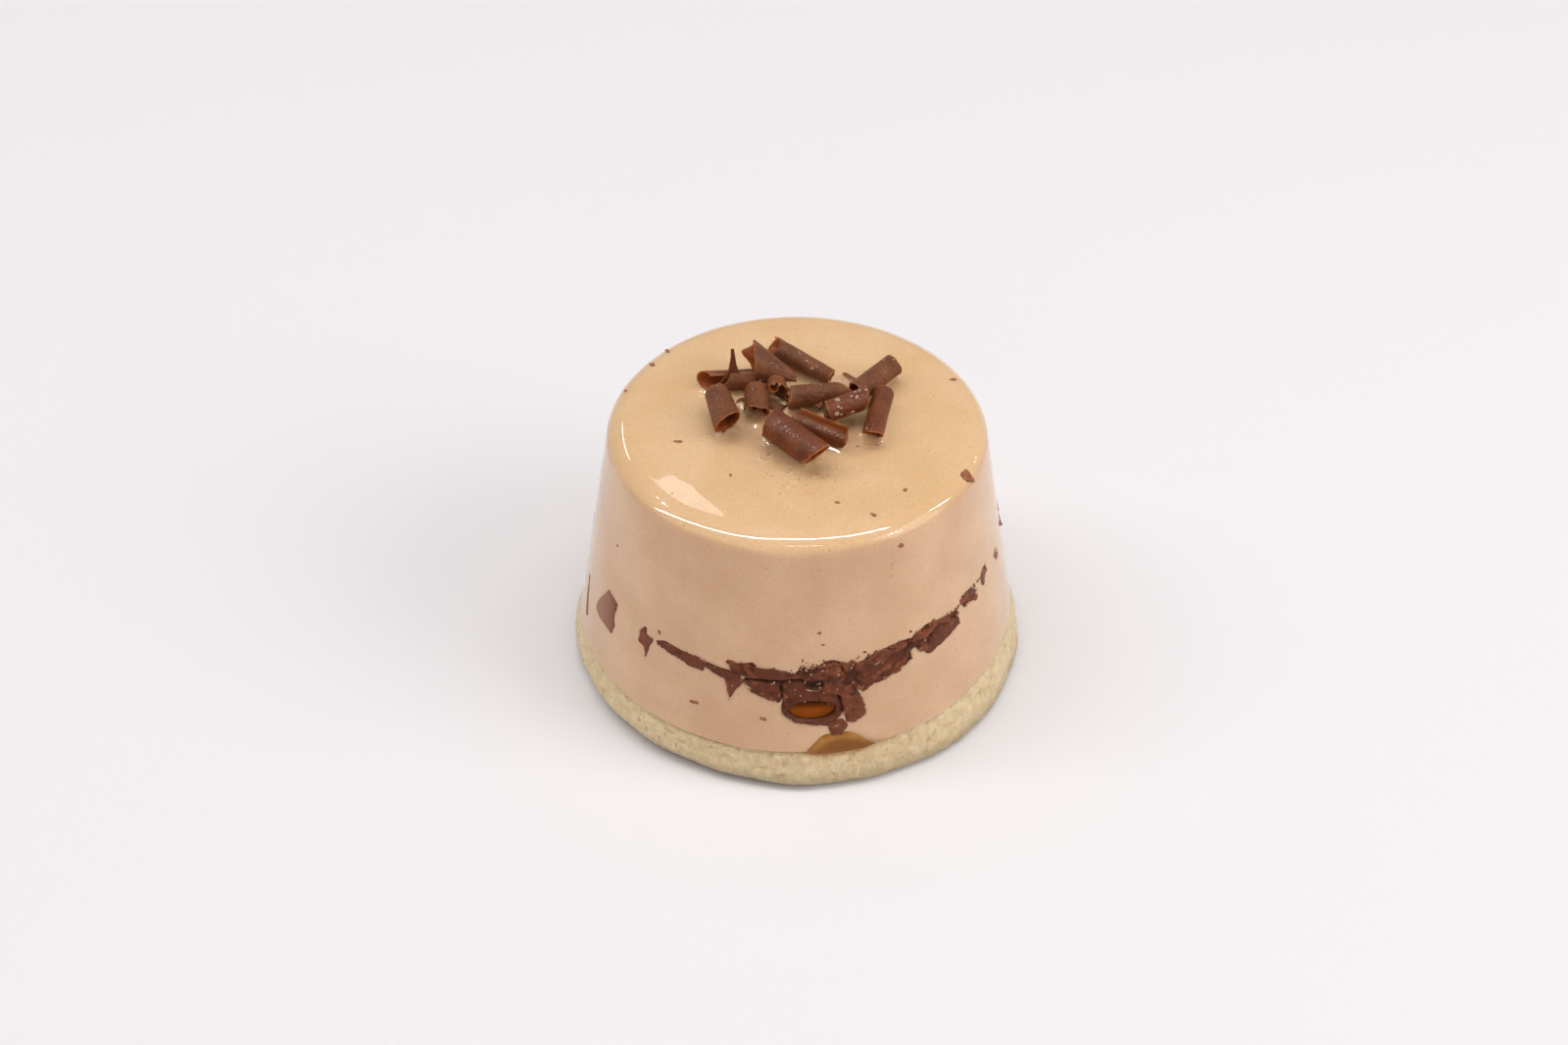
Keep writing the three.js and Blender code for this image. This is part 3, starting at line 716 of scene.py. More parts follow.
def bed_height(angle):
    """Height of the bed's middle at an angle in degrees."""
    return BED_HEIGHT + BED_SLOPE * BED_RADIUS * math.sin(math.radians(angle))


def back_flakes(seed):
    """Pieces with uneven outlines, close enough together to touch here and there."""
    draw = np.random.default_rng(seed)
    for piece in range(BACK_PIECES):
        middle = BACK_FROM + (BACK_TO - BACK_FROM) * (piece + draw.uniform(0.2, 0.8)) / BACK_PIECES
        half, rise, fall = [draw.uniform(*span) for span in (BACK_HALF, BACK_RISE, BACK_FALL)]
        height = bed_height(middle)
        spots = np.sort(draw.uniform(-0.8, 0.8, 3))
        upper = [(middle + half * spot, height + rise * draw.uniform(0.5, 1)) for spot in spots]
        lower = [(middle + half * spot, height - fall * draw.uniform(0.4, 1)) for spot in spots[::-1]]
        yield ("whole" if piece % 4 == 1 else "broken"), [
            (middle - half, height + draw.uniform(-0.5, 0.5)), *upper,
            (middle + half, height + draw.uniform(-0.5, 0.5)), *lower]


# %% Unroll the side
# The side is unrolled into a flat strip, across in millimetres of arc and up in millimetres of height.
UNROLL_RADIUS = cone_radius(BED_HEIGHT)
ARC = math.radians(1) * UNROLL_RADIUS  # millimetres of arc in one degree


def unrolled(corners):
    """Corners of angle and height as points of the strip."""
    return np.array([(angle * ARC, height) for angle, height in corners])


FLAKES = [(kind, unrolled(corners)) for kind, corners in [*SHOWING_FLAKES, *back_flakes(29)]]
GAPS = [unrolled(corners) for corners in SHOWING_GAPS]
print("pieces of the bed that show:", len(FLAKES))


def wrapped_near(across, middle):
    """across, moved by whole turns to be as near to middle as it can be."""
    turn = 360 * ARC
    return across - turn * np.round((across - middle) / turn)


def edge_distance(points, outline):
    """Distance from each point to the edge of an outline, positive inside it."""
    inside = np.zeros(len(points), bool)
    nearest = np.full(len(points), np.inf)
    for begin, finish in zip(outline, np.roll(outline, -1, axis=0)):
        edge = finish - begin
        share = np.clip((points - begin) @ edge / (edge @ edge), 0, 1)
        nearest = np.minimum(nearest, np.linalg.norm(points - begin - share[:, None] * edge, axis=1))
        crosses = (begin[1] > points[:, 1]) != (finish[1] > points[:, 1])
        rise = edge[1] if edge[1] else 1e-9
        inside ^= crosses & (points[:, 0] < begin[0] + (points[:, 1] - begin[1]) / rise * edge[0])
    return np.where(inside, nearest, -nearest)


def near_outline(strip, outline, reach):
    """Which points lie within reach of an outline's box, and those points beside it."""
    low = outline.min(0) - reach
    high = outline.max(0) + reach
    across = wrapped_near(strip[:, 0], (low[0] + high[0]) / 2)
    chosen = (across > low[0]) & (across < high[0]) & (strip[:, 1] > low[1]) & (strip[:, 1] < high[1])
    return np.flatnonzero(chosen), np.stack([across[chosen], strip[chosen, 1]], -1)


def bed_distance(strip):
    """Distance inside the nearest piece of the bed, negative outside them all."""
    reach = 1.5
    best = np.full(len(strip), -reach)
    for _, outline in FLAKES:
        chosen, points = near_outline(strip, outline, reach)
        best[chosen] = np.maximum(best[chosen], edge_distance(points, outline))
    return best


# %% The mouth of the curl in the bed
MOUTH_ANGLE = 3.8
MOUTH_HEIGHT = 14.9
MOUTH_HALF = (3.5, 1.75)  # half its width and half its height
MOUTH_DEPTH = 2.6
LIP_AT = 1.22  # share where the lip of the mouth is highest
LIP_WIDTH = 0.2
LIP_HEIGHT = 0.28


def mouth_share(strip):
    """1 on the edge of the mouth, less inside and more outside."""
    across = wrapped_near(strip[:, 0], 0) - MOUTH_ANGLE * ARC
    return np.hypot(across / MOUTH_HALF[0], (strip[:, 1] - MOUTH_HEIGHT) / MOUTH_HALF[1])


# %% Scatter the shards
SUNK = -0.8  # height of the bed's surface outside its pieces
GAP_LEVEL = -0.6  # and in the gaps between them
LEVELS = {"whole": 0.12, "worn": -0.08, "broken": -0.2}  # height of a piece between its shards
SHARDS_PER_AREA = {"whole": 0, "worn": 0.6, "broken": 0.85}
SHARD_TINTS = {"worn": (-0.9, -0.1), "broken": (-1, 1)}
SHARD_CORNERS = 5
SHARD_LENGTH, SHARD_WIDTH = (0.45, 1.7), (0.25, 0.75)  # from the middle to a corner
SHARD_LEVEL = (-0.12, 0.2)
SHARD_TURN = 0.5  # how much they turn out of the lie of their piece, in radians
SHARD_TILT = 0.1


def scattered_shards(seed):
    """Small broken pieces over the crushed parts: outline, middle, level, tilt and tint of each one."""
    draw = np.random.default_rng(seed)
    shards = []
    for kind, outline in FLAKES:
        low, high = outline.min(0), outline.max(0)
        along = outline[np.argmax(outline[:, 0])] - outline[np.argmin(outline[:, 0])]
        lie = math.atan2(along[1], along[0])
        for _ in range(int(SHARDS_PER_AREA[kind] * np.prod(high - low))):
            middle = draw.uniform(low, high)
            length, width = draw.uniform(*SHARD_LENGTH), draw.uniform(*SHARD_WIDTH)
            turn = lie + draw.normal(0, SHARD_TURN)
            corners = []
            for step in range(SHARD_CORNERS):
                angle = 2 * math.pi * (step + draw.uniform(-0.25, 0.25)) / SHARD_CORNERS
                corners.append((length * math.cos(angle), width * math.sin(angle)))
            spin = np.array([[math.cos(turn), -math.sin(turn)], [math.sin(turn), math.cos(turn)]])
            shape = np.array(corners) @ spin.T + middle
            tilt = draw.normal(0, SHARD_TILT, 2)
            level = draw.uniform(*SHARD_LEVEL)
            tint = draw.uniform(*SHARD_TINTS[kind])
            if edge_distance(middle[None], outline)[0] > 0:
                shards.append((shape, middle, level, tilt, tint))
    return shards


SHARDS = scattered_shards(11)
print("shards:", len(SHARDS))


# %% The height of the bed's surface
PIECE_EDGE = (-0.08, 0.16)  # distances inside an outline over which a piece rises to its level
SHARD_EDGE = (-0.08, 0.1)
GAP_EDGE = (-0.12, 0.2)
WORN_TINT = -0.35
TORN_OUTLINE = [(0.1, 0.7, 21), (0.1, 0.3, 22)]
ROUGH_FACE = [(0.05, 0.5, 23), (0.03, 0.22, 24)]


def raise_to(height, tint, chosen, made, shade):
    """Where a piece stands higher than what lies there, it takes its place and its tint."""
    higher = made > height[chosen]
    height[chosen[higher]] = made[higher]
    tint[chosen[higher]] = shade


def bed_surface(strip):
    """Height over the side of the cake and tint at each point of the unrolled side."""
    flat = np.column_stack([strip, np.zeros(len(strip))])
    torn = waves(flat, TORN_OUTLINE)
    rough = waves(flat, ROUGH_FACE)
    height = np.full(len(strip), SUNK)
    tint = np.zeros(len(strip))
    covered = np.full(len(strip), -1.0)
    for number, (kind, outline) in enumerate(FLAKES):
        chosen, points = near_outline(strip, outline, 0.8)
        ragged = torn[chosen] * (2.0 if kind == "broken" else 1.0)
        distance = edge_distance(points, outline) + ragged + 0.1
        middle = outline.mean(0)
        tilt = (points - middle) @ np.array([0.02 * math.sin(number), 0.03 * math.cos(2 * number)])
        level = LEVELS[kind] + 0.05 * math.sin(3 * number)
        made = SUNK + (level + tilt + rough[chosen] - SUNK) * smooth_step(distance, *PIECE_EDGE)
        shade = 0.45 * math.sin(5 * number + 2) if kind == "whole" else WORN_TINT
        raise_to(height, tint, chosen, made, shade)
        covered[chosen] = np.maximum(covered[chosen], distance)
    for outline, middle, level, tilt, shade in SHARDS:
        chosen, points = near_outline(strip, outline, 0.3)
        distance = edge_distance(points, outline) + 0.5 * torn[chosen]
        distance = np.minimum(distance, covered[chosen] + 0.05)
        surface = level + (points - middle) @ tilt + 0.6 * rough[chosen]
        made = SUNK + (surface - SUNK) * smooth_step(distance, *SHARD_EDGE)
        raise_to(height, tint, chosen, made, shade)
    for outline in GAPS:
        chosen, points = near_outline(strip, outline, 0.3)
        sunk = smooth_step(edge_distance(points, outline) + 0.6 * torn[chosen], *GAP_EDGE)
        height[chosen] = height[chosen] * (1 - sunk) + GAP_LEVEL * sunk
    mouth = mouth_share(strip)
    lip = LIP_HEIGHT * bell(mouth - LIP_AT, LIP_WIDTH)
    height = height + lip * smooth_step(covered, 0, 0.4)
    bore = smooth_step(mouth, 0.8, 1.02)
    return height * bore - MOUTH_DEPTH * (1 - bore), tint


# %% Build the bed
BED_CELL = 0.15
BED_LOW = 9.4
BED_HIGH = 27.4
BED_INNER_RADIUS = 26.5  # how far in the pieces reach
GLANCE_FROM, GLANCE_TO = (50, 72), (108, 88)  # angles over which the painted sheen comes and goes


def bed_mesh():
    """The outer face of the broken pieces where they show, closed inwards."""
    columns = int(360 * ARC / BED_CELL)
    rows = int((BED_HIGH - BED_LOW) / BED_CELL)
    across, up = np.meshgrid(np.arange(columns) / columns * 360 * ARC, np.linspace(BED_LOW, BED_HIGH, rows))
    strip = np.column_stack([across.ravel(), up.ravel()])
    height, tint = bed_surface(strip)
    angle = strip[:, 0] / UNROLL_RADIUS
    outer = round_points(cone_radius(strip[:, 1]) + height, strip[:, 1], angle)
    inner = round_points(np.full(len(strip), BED_INNER_RADIUS), strip[:, 1], angle)
    quads = grid_faces(rows, columns, closed=True)
    kept = quads[height[quads].max(1) > SUNK + 0.1]
    count = len(strip)
    # A border edge has no face on its other side, so a wall goes inwards from it.
    edges = np.concatenate([kept[:, [k, (k + 1) % 4]] for k in range(4)])
    key = edges[:, 0] * count + edges[:, 1]
    back = edges[:, 1] * count + edges[:, 0]
    border = edges[~np.isin(key, back)]
    walls = np.stack([border[:, 1], border[:, 0], border[:, 0] + count, border[:, 1] + count], -1)
    faces = np.concatenate([kept, kept[:, ::-1] + count, walls])
    used, faces = np.unique(faces, return_inverse=True)
    faces = faces.reshape(-1, 4)
    points = np.concatenate([outer, inner])[used]
    # A painted sheen grows towards the outline at the far left and right, where the glaze is seen at a
    # glancing angle.
    from_front = np.abs(wrapped_near(strip[:, 0], 0)) / ARC
    veil = smooth_step(from_front, *GLANCE_FROM) * smooth_step(from_front, *GLANCE_TO)
    marks = {"tint": tint, "veil": veil, "height": height}
    return points, faces.tolist(), {name: np.tile(values, 2)[used] for name, values in marks.items()}


def bed_disc(steps=160):
    """The crushed bed inside the cake: a thin, uneven, slightly sloping disc."""
    angle = np.arange(steps) / steps * 2 * math.pi
    radius = BED_RADIUS + 0.8 * np.sin(5 * angle) + 0.6 * np.sin(11 * angle + 2)
    x, y = radius * np.cos(angle), radius * np.sin(angle)
    ring = np.column_stack([x, y, BED_HEIGHT + BED_SLOPE * x])
    half = np.array([0, 0, BED_THICKNESS / 2])
    ends = np.array([[0, 0, BED_HEIGHT - BED_THICKNESS / 2], [0, 0, BED_HEIGHT + BED_THICKNESS / 2]])
    points = np.concatenate([ring - half, ring + half, ends])
    nothing = np.zeros(len(points))
    return points, round_faces(2, steps), {"tint": nothing, "veil": nothing, "height": nothing}


# %% [markdown]
# ## Layer chocolate
# The pieces at the side lie under the glaze, so they are dark and glossy. Each shard gets a slightly
# different brown from the mark that the mesh carries. Where the surface is sunk, the brown is painted
# darker as shade. Towards the outline at the far left and right a pale mousse colour is laid over the
# pieces: a painted sheen of the glaze, seen there at a glancing angle.


# %% Make the layer chocolate
def make_layer_chocolate():
    material, tree, shader = new_material(
        "layer_chocolate", Roughness=0.5, Subsurface_Weight=0.15, Subsurface_Scale=0.0006, Coat_Weight=0.25,
        Coat_Roughness=0.08, Coat_IOR=1.35, Specular_IOR_Level=0.1)
    tint = mark(tree, "tint")
    body = mottled(tree, 1.4, 0.6, (102, 50, 28), (132, 70, 42))
    lighter = tinted(tree, body, (156, 92, 62), tint, (-0.2, 1.2), (0.0, 0.55))
    darker = tinted(tree, lighter, (58, 26, 14), tint, (-1.1, 0.2), (0.8, 0.0))
    # Where the surface is sunk, in the gaps between pieces and in the mouth, the brown is painted darker:
    # painted shade.
    shaded_hollows = tinted(tree, darker, (44, 20, 12), mark(tree, "height"), (-0.45, -0.05), (0.7, 0.0))
    # A pale mousse colour laid over the pieces towards the far left and right: painted sheen.
    veiled = tinted(tree, shaded_hollows, (190, 146, 122), mark(tree, "veil"), (0.0, 1.0), (0.0, 0.48))
    tree.links.new(veiled, shader.inputs["Base Color"])
    tree.links.new(add_bump(tree, grain(tree, 0.25, 0.65), 0.05), shader.inputs["Normal"])
    return material


layer_chocolate = make_layer_chocolate()
bed = joined(bed_mesh(), bed_disc())
add_piece("broken_chocolate_bed", bed, layer_chocolate, ("chocolate_layer",))

# %% [markdown]
# ## The caramel
# Caramel fills the mouth of the curl in the bed. It is a thick liquid: level inside, drawn up a little
# where it touches the wall, and deeper at the top, where it has run out. It is amber and clear, so light
# goes in and comes out again elsewhere.

# %% Build the caramel
CARAMEL_DEPTH = 5.0  # how far back into the cake it reaches
CARAMEL_HOLLOW = 0.75  # how deep its face lies in the mouth
CARAMEL_SHARE = 1.03  # how far it fills the mouth, so that it is sunk into the wall
CARAMEL_SIDE_ROWS = 6


def caramel_mesh(rows=26, columns=72):
    """An oval plug: its face from the middle outwards, then its side back into the cake."""
    side_share = np.full(CARAMEL_SIDE_ROWS, CARAMEL_SHARE)
    share = np.concatenate([np.linspace(0.04, CARAMEL_SHARE, rows), side_share])[:, None]
    angle = (np.arange(columns) / columns * 2 * math.pi)[None]
    across = MOUTH_HALF[0] * share * np.cos(angle)
    up = MOUTH_HALF[1] * share * np.sin(angle)
    hollow = CARAMEL_HOLLOW + 0.55 * smooth_step(up, -0.4, 1.6) - 0.3 * smooth_step(share, 0.7, 1.0)
    side = np.concatenate([np.zeros(rows), np.linspace(0.3, CARAMEL_DEPTH, CARAMEL_SIDE_ROWS)])[:, None]
    depth = hollow * (side == 0) + np.maximum(side, 1.6) * (side > 0) + 0 * angle
    radius = cone_radius(MOUTH_HEIGHT + up) - depth
    turn = math.radians(MOUTH_ANGLE) + across / UNROLL_RADIUS
    grid = round_points(radius, MOUTH_HEIGHT + up, turn)
    points = np.concatenate([grid.reshape(-1, 3), grid[:1].mean(1), grid[-1:].mean(1)])
    rim = np.concatenate([(share + 0 * angle).ravel(), [0.0, 1.0]])
    faces = round_faces(len(share), columns)
    triangles = np.array([face[:3] for face in faces])
    a, b, c = (points[triangles[:, k]] - points.mean(0) for k in (0, 1, 2))
    flip = np.einsum("ij,ij->i", a, np.cross(b, c)).sum() < 0
    return points, [face[::-1] if flip else face for face in faces], {"rim": rim}


def make_caramel():
    material, tree, shader = new_material(
        "caramel", Roughness=0.16, Subsurface_Weight=0.5, Subsurface_Radius=(1.0, 0.45, 0.08),
        Subsurface_Scale=0.001, Coat_Weight=0.1, Coat_Roughness=0.04, Specular_IOR_Level=0.05)
    up = height_of(tree, object_place(tree))
    # Dark at the top, where the upper lip shades it, and bright amber lower down: painted shade.
    body = tinted(tree, screen_color(46, 16, 0), (160, 78, 0), up, (14.2 * MM, 16.0 * MM), (1.0, 0.0))
    # Darker round its edge, in the corner against the wall: painted shade.
    rim_shaded = tinted(tree, body, (88, 40, 10), mark(tree, "rim"), (0.86, CARAMEL_SHARE))
    tree.links.new(rim_shaded, shader.inputs["Base Color"])
    return material


add_piece("caramel_in_mouth", caramel_mesh(), make_caramel(), ("caramel_filling",))

# %% [markdown]
# ## The mousse
# The mousse is one smooth round, and its shape is the outline turned about the axis. On top of that the
# mesh itself carries what the light catches: slow waves from the ring, the dip where the pieces of the bed
# lie, the arch at the foot where caramel has run out, rings left by bubbles in the glaze, and the glaze
# that has climbed up the feet of the curls. That last one needs to know where the curls stand, so they were
# rolled first.

# %% Where the glaze climbs
CLIMB_REACH = 0.55  # how far from the foot of a curl the glaze climbs
CLIMB_RISE = 0.55  # and how high
FOOT_BAND = 0.9  # points of a curl lower than this over the top touch the glaze


def curl_feet():
    """A search tree of the places on the top where curls come down to the glaze."""
    everywhere = np.concatenate([points for points, _, _ in curl_meshes.values()])
    feet = everywhere[everywhere[:, 2] < CAKE_HEIGHT + FOOT_BAND]
    tree = KDTree(len(feet))
    for number, (x, y, _) in enumerate(feet):
        tree.insert((x, y, 0), number)
    tree.balance()
    print("points at the feet of the curls:", len(feet))
    return tree


feet_tree = curl_feet()

# Bubbles in the glaze: place, then radius and height of the ring they left.
BUBBLES = [(-0.5, -15.7, 0.85, 0.12), (-0.7, -14.2, 0.5, 0.1), (-13.2, -4.7, 0.4, 0.1),
           (-20.9, -18.0, 0.75, 0.12), (-3.1, -12.3, 0.35, 0.08), (5.2, -12.4, 0.4, 0.08),
           (9.9, -18.9, 0.5, 0.1), (-6.4, -11.2, 0.3, 0.08), (2.3, -17.8, 0.35, 0.08),
           (-9.9, -8.2, 0.35, 0.08), (10.7, -5.5, 1.3, 0.12), (-4.6, -9.2, 1.0, 0.12)]
RING_WIDTH = 0.2
PIT_DEPTH = 0.5  # depth of the pit inside a ring, as a share of the ring's height
PIT_WIDTH = 0.6  # and its width as a share of the ring's radius

# Glaze that has drawn up between the curls: place, radius and height of each mound.
MOUNDS = [(9.9, -4.6, 1.2, 1.0), (-6.2, -1.8, 0.7, 0.45), (-8.4, 3.0, 0.9, 0.6), (-3.6, -4.4, 0.8, 0.5),
          (8.0, 6.6, 0.8, 0.6), (4.9, 8.0, 0.7, 0.5), (0.3, 6.9, 0.9, 0.8)]


def bubble_rings(x, y):
    """Height that the burst bubbles and the mounds add to the glaze."""
    added = np.zeros(x.shape)
    for middle_x, middle_y, radius, height in MOUNDS:
        added += height * bell(np.hypot(x - middle_x, y - middle_y), radius)
    for middle_x, middle_y, radius, rise in BUBBLES:
        away = np.hypot(x - middle_x, y - middle_y)
        added += rise * (bell(away - radius, RING_WIDTH) - PIT_DEPTH * bell(away, PIT_WIDTH * radius))
    return added


# %% [markdown]
# ## The stain at the foot
# Caramel shows again at the foot under the mouth, where the mousse has drawn back from the sponge in a low
# arch. A stain in the mousse's own colour stays blurred, since mousse scatters light. So the caramel in the
# arch is a thin film of its own, clear at its edges. The mousse and the sponge carry marks that tint them
# round it.

# %% Where the caramel shows
ARCH_RISE = (0.8, 7.5)  # angles over which the arch rises at its left
ARCH_FALL = (12.5, 21.0)  # and comes down at its right
ARCH_HEIGHT = 3.4
AMBER = (11.0, 1.2)  # angle and height over the joint where the caramel is darkest
AMBER_HALF = (7, 1.8)  # and how far it reaches from there, in degrees and millimetres
SEAM_AT, SEAM_HALF = 13, (11, 0.9)  # the same for what has crept along the joint


def from_the_front(angle):
    """An angle in degrees from -180 to 180, with 0 at the front."""
    return np.degrees(np.arctan2(np.sin(angle), np.cos(angle)))


def arch_height(degrees):
    """How high the arch stands over the joint."""
    return ARCH_HEIGHT * smooth_step(degrees, *ARCH_RISE) * (1 - smooth_step(degrees, *ARCH_FALL))


def arch_share(angle, height):
    """1 in the arch at the foot of the mousse, 0 outside it."""
    arch = arch_height(from_the_front(angle))
    return smooth_step(arch - (height - joint_height(angle)), 0.0, 0.35) * (arch > 0.05)


def amber_share(angle, height):
    """How much caramel shows: most in the arch, a little along the joint and down the sponge."""
    degrees = from_the_front(angle)
    above = height - joint_height(angle)
    pool = bell(degrees - AMBER[0], AMBER_HALF[0]) * bell(above - AMBER[1], AMBER_HALF[1])
    seam = 0.9 * bell(degrees - SEAM_AT, SEAM_HALF[0]) * bell(above, SEAM_HALF[1])
    return np.clip(pool + seam, 0, 1)


def joint_line(angle, height):
    """The thin damp line where the mousse stands on the sponge."""
    return bell(height - joint_height(angle), 0.3)


# %% Build the film of caramel
RUN_CELLS = (70, 16)
RUN_SUNK = 0.2  # how deep the edge of the film lies under the side of the cake
RUN_SWELL = 0.27  # how far its middle stands out of that
RUN_OVERLAP = 0.15  # how far it hangs down over the joint
RUN_THICKNESS = 0.8


def caramel_run():
    """A film of caramel in the arch: its face, then the same face again inside the mousse."""
    along, up, faces = sheet_grid(RUN_CELLS)
    degrees = ARCH_RISE[0] + 1 + (ARCH_FALL[1] - ARCH_RISE[0] - 2) * along
    angle = np.radians(degrees)
    height = joint_height(angle) - RUN_OVERLAP + (arch_height(degrees) + RUN_OVERLAP) * up
    swell = smooth_step(up, 1.0, 0.7) * smooth_step(along, 0, 0.15) * smooth_step(along, 1, 0.85)
    uneven = 0.03 * lumps(round_points(UNROLL_RADIUS, height, angle), 1.2, 51)
    face = cone_radius(height) - RUN_SUNK + RUN_SWELL * swell + uneven
    both = [round_points(radius, height, angle).reshape(-1, 3) for radius in (face, face - RUN_THICKNESS)]
    points = np.concatenate(both)
    return points, outward(points, faces), {"amber": np.tile(amber_share(angle, height).ravel(), 2)}


def make_thin_caramel():
    """Thin caramel lets the mousse behind it show at its edges."""
    material, tree, shader = new_material(
        "thin_caramel", Roughness=0.3, Coat_Weight=0.4, Coat_Roughness=0.03, Specular_IOR_Level=0.1)
    amber = mark(tree, "amber")
    body = tinted(tree, screen_color(198, 140, 64), (146, 88, 24), amber, (0.3, 1.0))
    deeper = tinted(tree, body, (128, 70, 16), patches(tree, 1.6, 0.5), (0.0, 1.0), (0.0, 0.4))
    tree.links.new(deeper, shader.inputs["Base Color"])
    tree.links.new(ranged(tree, amber, 0.0, 0.5, 0.3, 0.92), shader.inputs["Alpha"])
    return material


add_piece("caramel_run", caramel_run(), make_thin_caramel())

# %% Build the mousse
MOUSSE_COLUMNS = 500
LIP = 0.45  # rounding of the lower edge
RECESS = 0.9  # how far the mousse lies behind the pieces of the bed
RIM_ROWS = 17
UNDERSIDE = np.array([0.3, 0.6, 0.85, 0.95])  # rings of the underside, as shares of its radius
MOUTH_CLEARANCE = 0.6  # how far it lies behind the bottom of the mouth
ARCH_DEPTH = 0.3  # how far it lies back in the arch
SIDE_WAVES = [(0.05, 8, 31), (0.02, 2.4, 32)]
CLIMB_WITHIN = 19  # all the curls stand within this radius
COLOR_EDGE = 42.0  # height where the golden cap of glaze ends
COLOR_BLEND = 0.7


def mousse_levels():
    """Rows of the side as shares of the way up, closest together where the bed shows."""
    heights = np.concatenate([np.arange(7.1, 9.5, 0.35), np.arange(9.5, 27, 0.3), np.arange(27, 41.1, 0.5)])
    return (heights - JOINT_HEIGHT) / (CAKE_HEIGHT - RIM_DROP - JOINT_HEIGHT)


def mousse_mesh():
    angle = np.arange(MOUSSE_COLUMNS) / MOUSSE_COLUMNS * 2 * math.pi
    joint = joint_height(angle) + 0.05
    turn = np.linspace(0, 1, 5)[:, None] * math.pi / 2
    lip_radius = cone_radius(joint) - LIP * (1 - np.sin(turn))
    lip_height = joint + LIP * (1 - np.cos(turn))
    under_radius = cone_radius(joint) * UNDERSIDE[:, None]
    under_height = joint + 0 * under_radius
    share = mousse_levels()
    share = share[share > 0.02][:, None]
    side_height = joint + LIP + (CAKE_HEIGHT - RIM_DROP - joint - LIP) * share
    rim = rim_outline(RIM_ROWS)
    top_radius = np.concatenate([np.arange(24.8, 17, -0.45), np.arange(17, 0.2, -0.25)])
    level_radius = np.concatenate([rim[:, 0], top_radius])[:, None]
    level_height = np.concatenate([rim[:, 1], top_height(top_radius)])[:, None]
    flat = 0 * angle[None]
    radius = np.concatenate([under_radius, lip_radius, cone_radius(side_height), level_radius + flat])
    height = np.concatenate([under_height, lip_height, side_height, level_height + flat])
    across, up = np.gradient(radius, axis=0), np.gradient(height, axis=0)
    size = np.hypot(across, up)
    angle = angle[None] + 0 * radius
    points = round_points(radius, height, angle)
    moved = mousse_relief(points, radius, height, angle)
    radius = radius + moved * up / size
    height = height - moved * across / size
    points = round_points(radius, height, angle).reshape(-1, 3)
    ends = np.array([[0, 0, JOINT_HEIGHT], [0, 0, CAKE_HEIGHT]])
    shares = {"arch": arch_share, "amber": amber_share, "joint": joint_line}
    marks = {name: with_ends(share_at(angle, height)) for name, share_at in shares.items()}
    return np.concatenate([points, ends]), round_faces(*radius.shape), marks


def with_ends(values):
    """A mark's values in a row, with 0 for the two end points."""
    return np.concatenate([values.ravel(), [0, 0]])


def mousse_relief(points, radius, height, angle):
    """How far the surface stands out of the plain outline."""
    on_side = smooth_step(CAKE_HEIGHT - RIM_DROP - height, -0.5, 1.5) * (height > JOINT_HEIGHT)
    on_top = smooth_step(height, CAKE_HEIGHT - 1.2, CAKE_HEIGHT - 0.6)
    moved = on_side * waves(points, SIDE_WAVES)
    moved += on_top * (0.045 * lumps(points * np.array([1, 1, 0.2]), 9, 33) + 0.006 * lumps(points, 1.8, 34))
    strip = np.column_stack([angle.ravel() * UNROLL_RADIUS, height.ravel()])
    inside = bed_distance(strip).reshape(radius.shape)
    moved -= RECESS * smooth_step(inside, -0.05, 0.5) * on_side
    mouth = mouth_share(strip).reshape(radius.shape)
    moved -= (MOUTH_DEPTH + MOUTH_CLEARANCE) * smooth_step(mouth, 1.3, 1.08) * on_side
    moved -= ARCH_DEPTH * arch_share(angle, height) * on_side
    x, y = points[..., 0], points[..., 1]
    climbing = np.zeros(radius.shape)
    for row, column in np.argwhere((radius < CLIMB_WITHIN) & (height > CAKE_HEIGHT - 1)):
        away = feet_tree.find((x[row, column], y[row, column], 0))[2]
        climbing[row, column] = CLIMB_RISE * math.exp(-((away / CLIMB_REACH) ** 1.4))
    return moved + on_top * (climbing + bubble_rings(x, y))


# %% [markdown]
# ## Glazed mousse
# Mousse scatters light below its surface, which makes it soft and pale, and the clear glaze over it gives a
# sharp, mirror-like shine. So the material has scattering and a coat. The glaze cap on the top turns the
# pinkish beige to gold and ends in a line just under the rim. Fine dark specks and tiny bubbles are all
# through it.


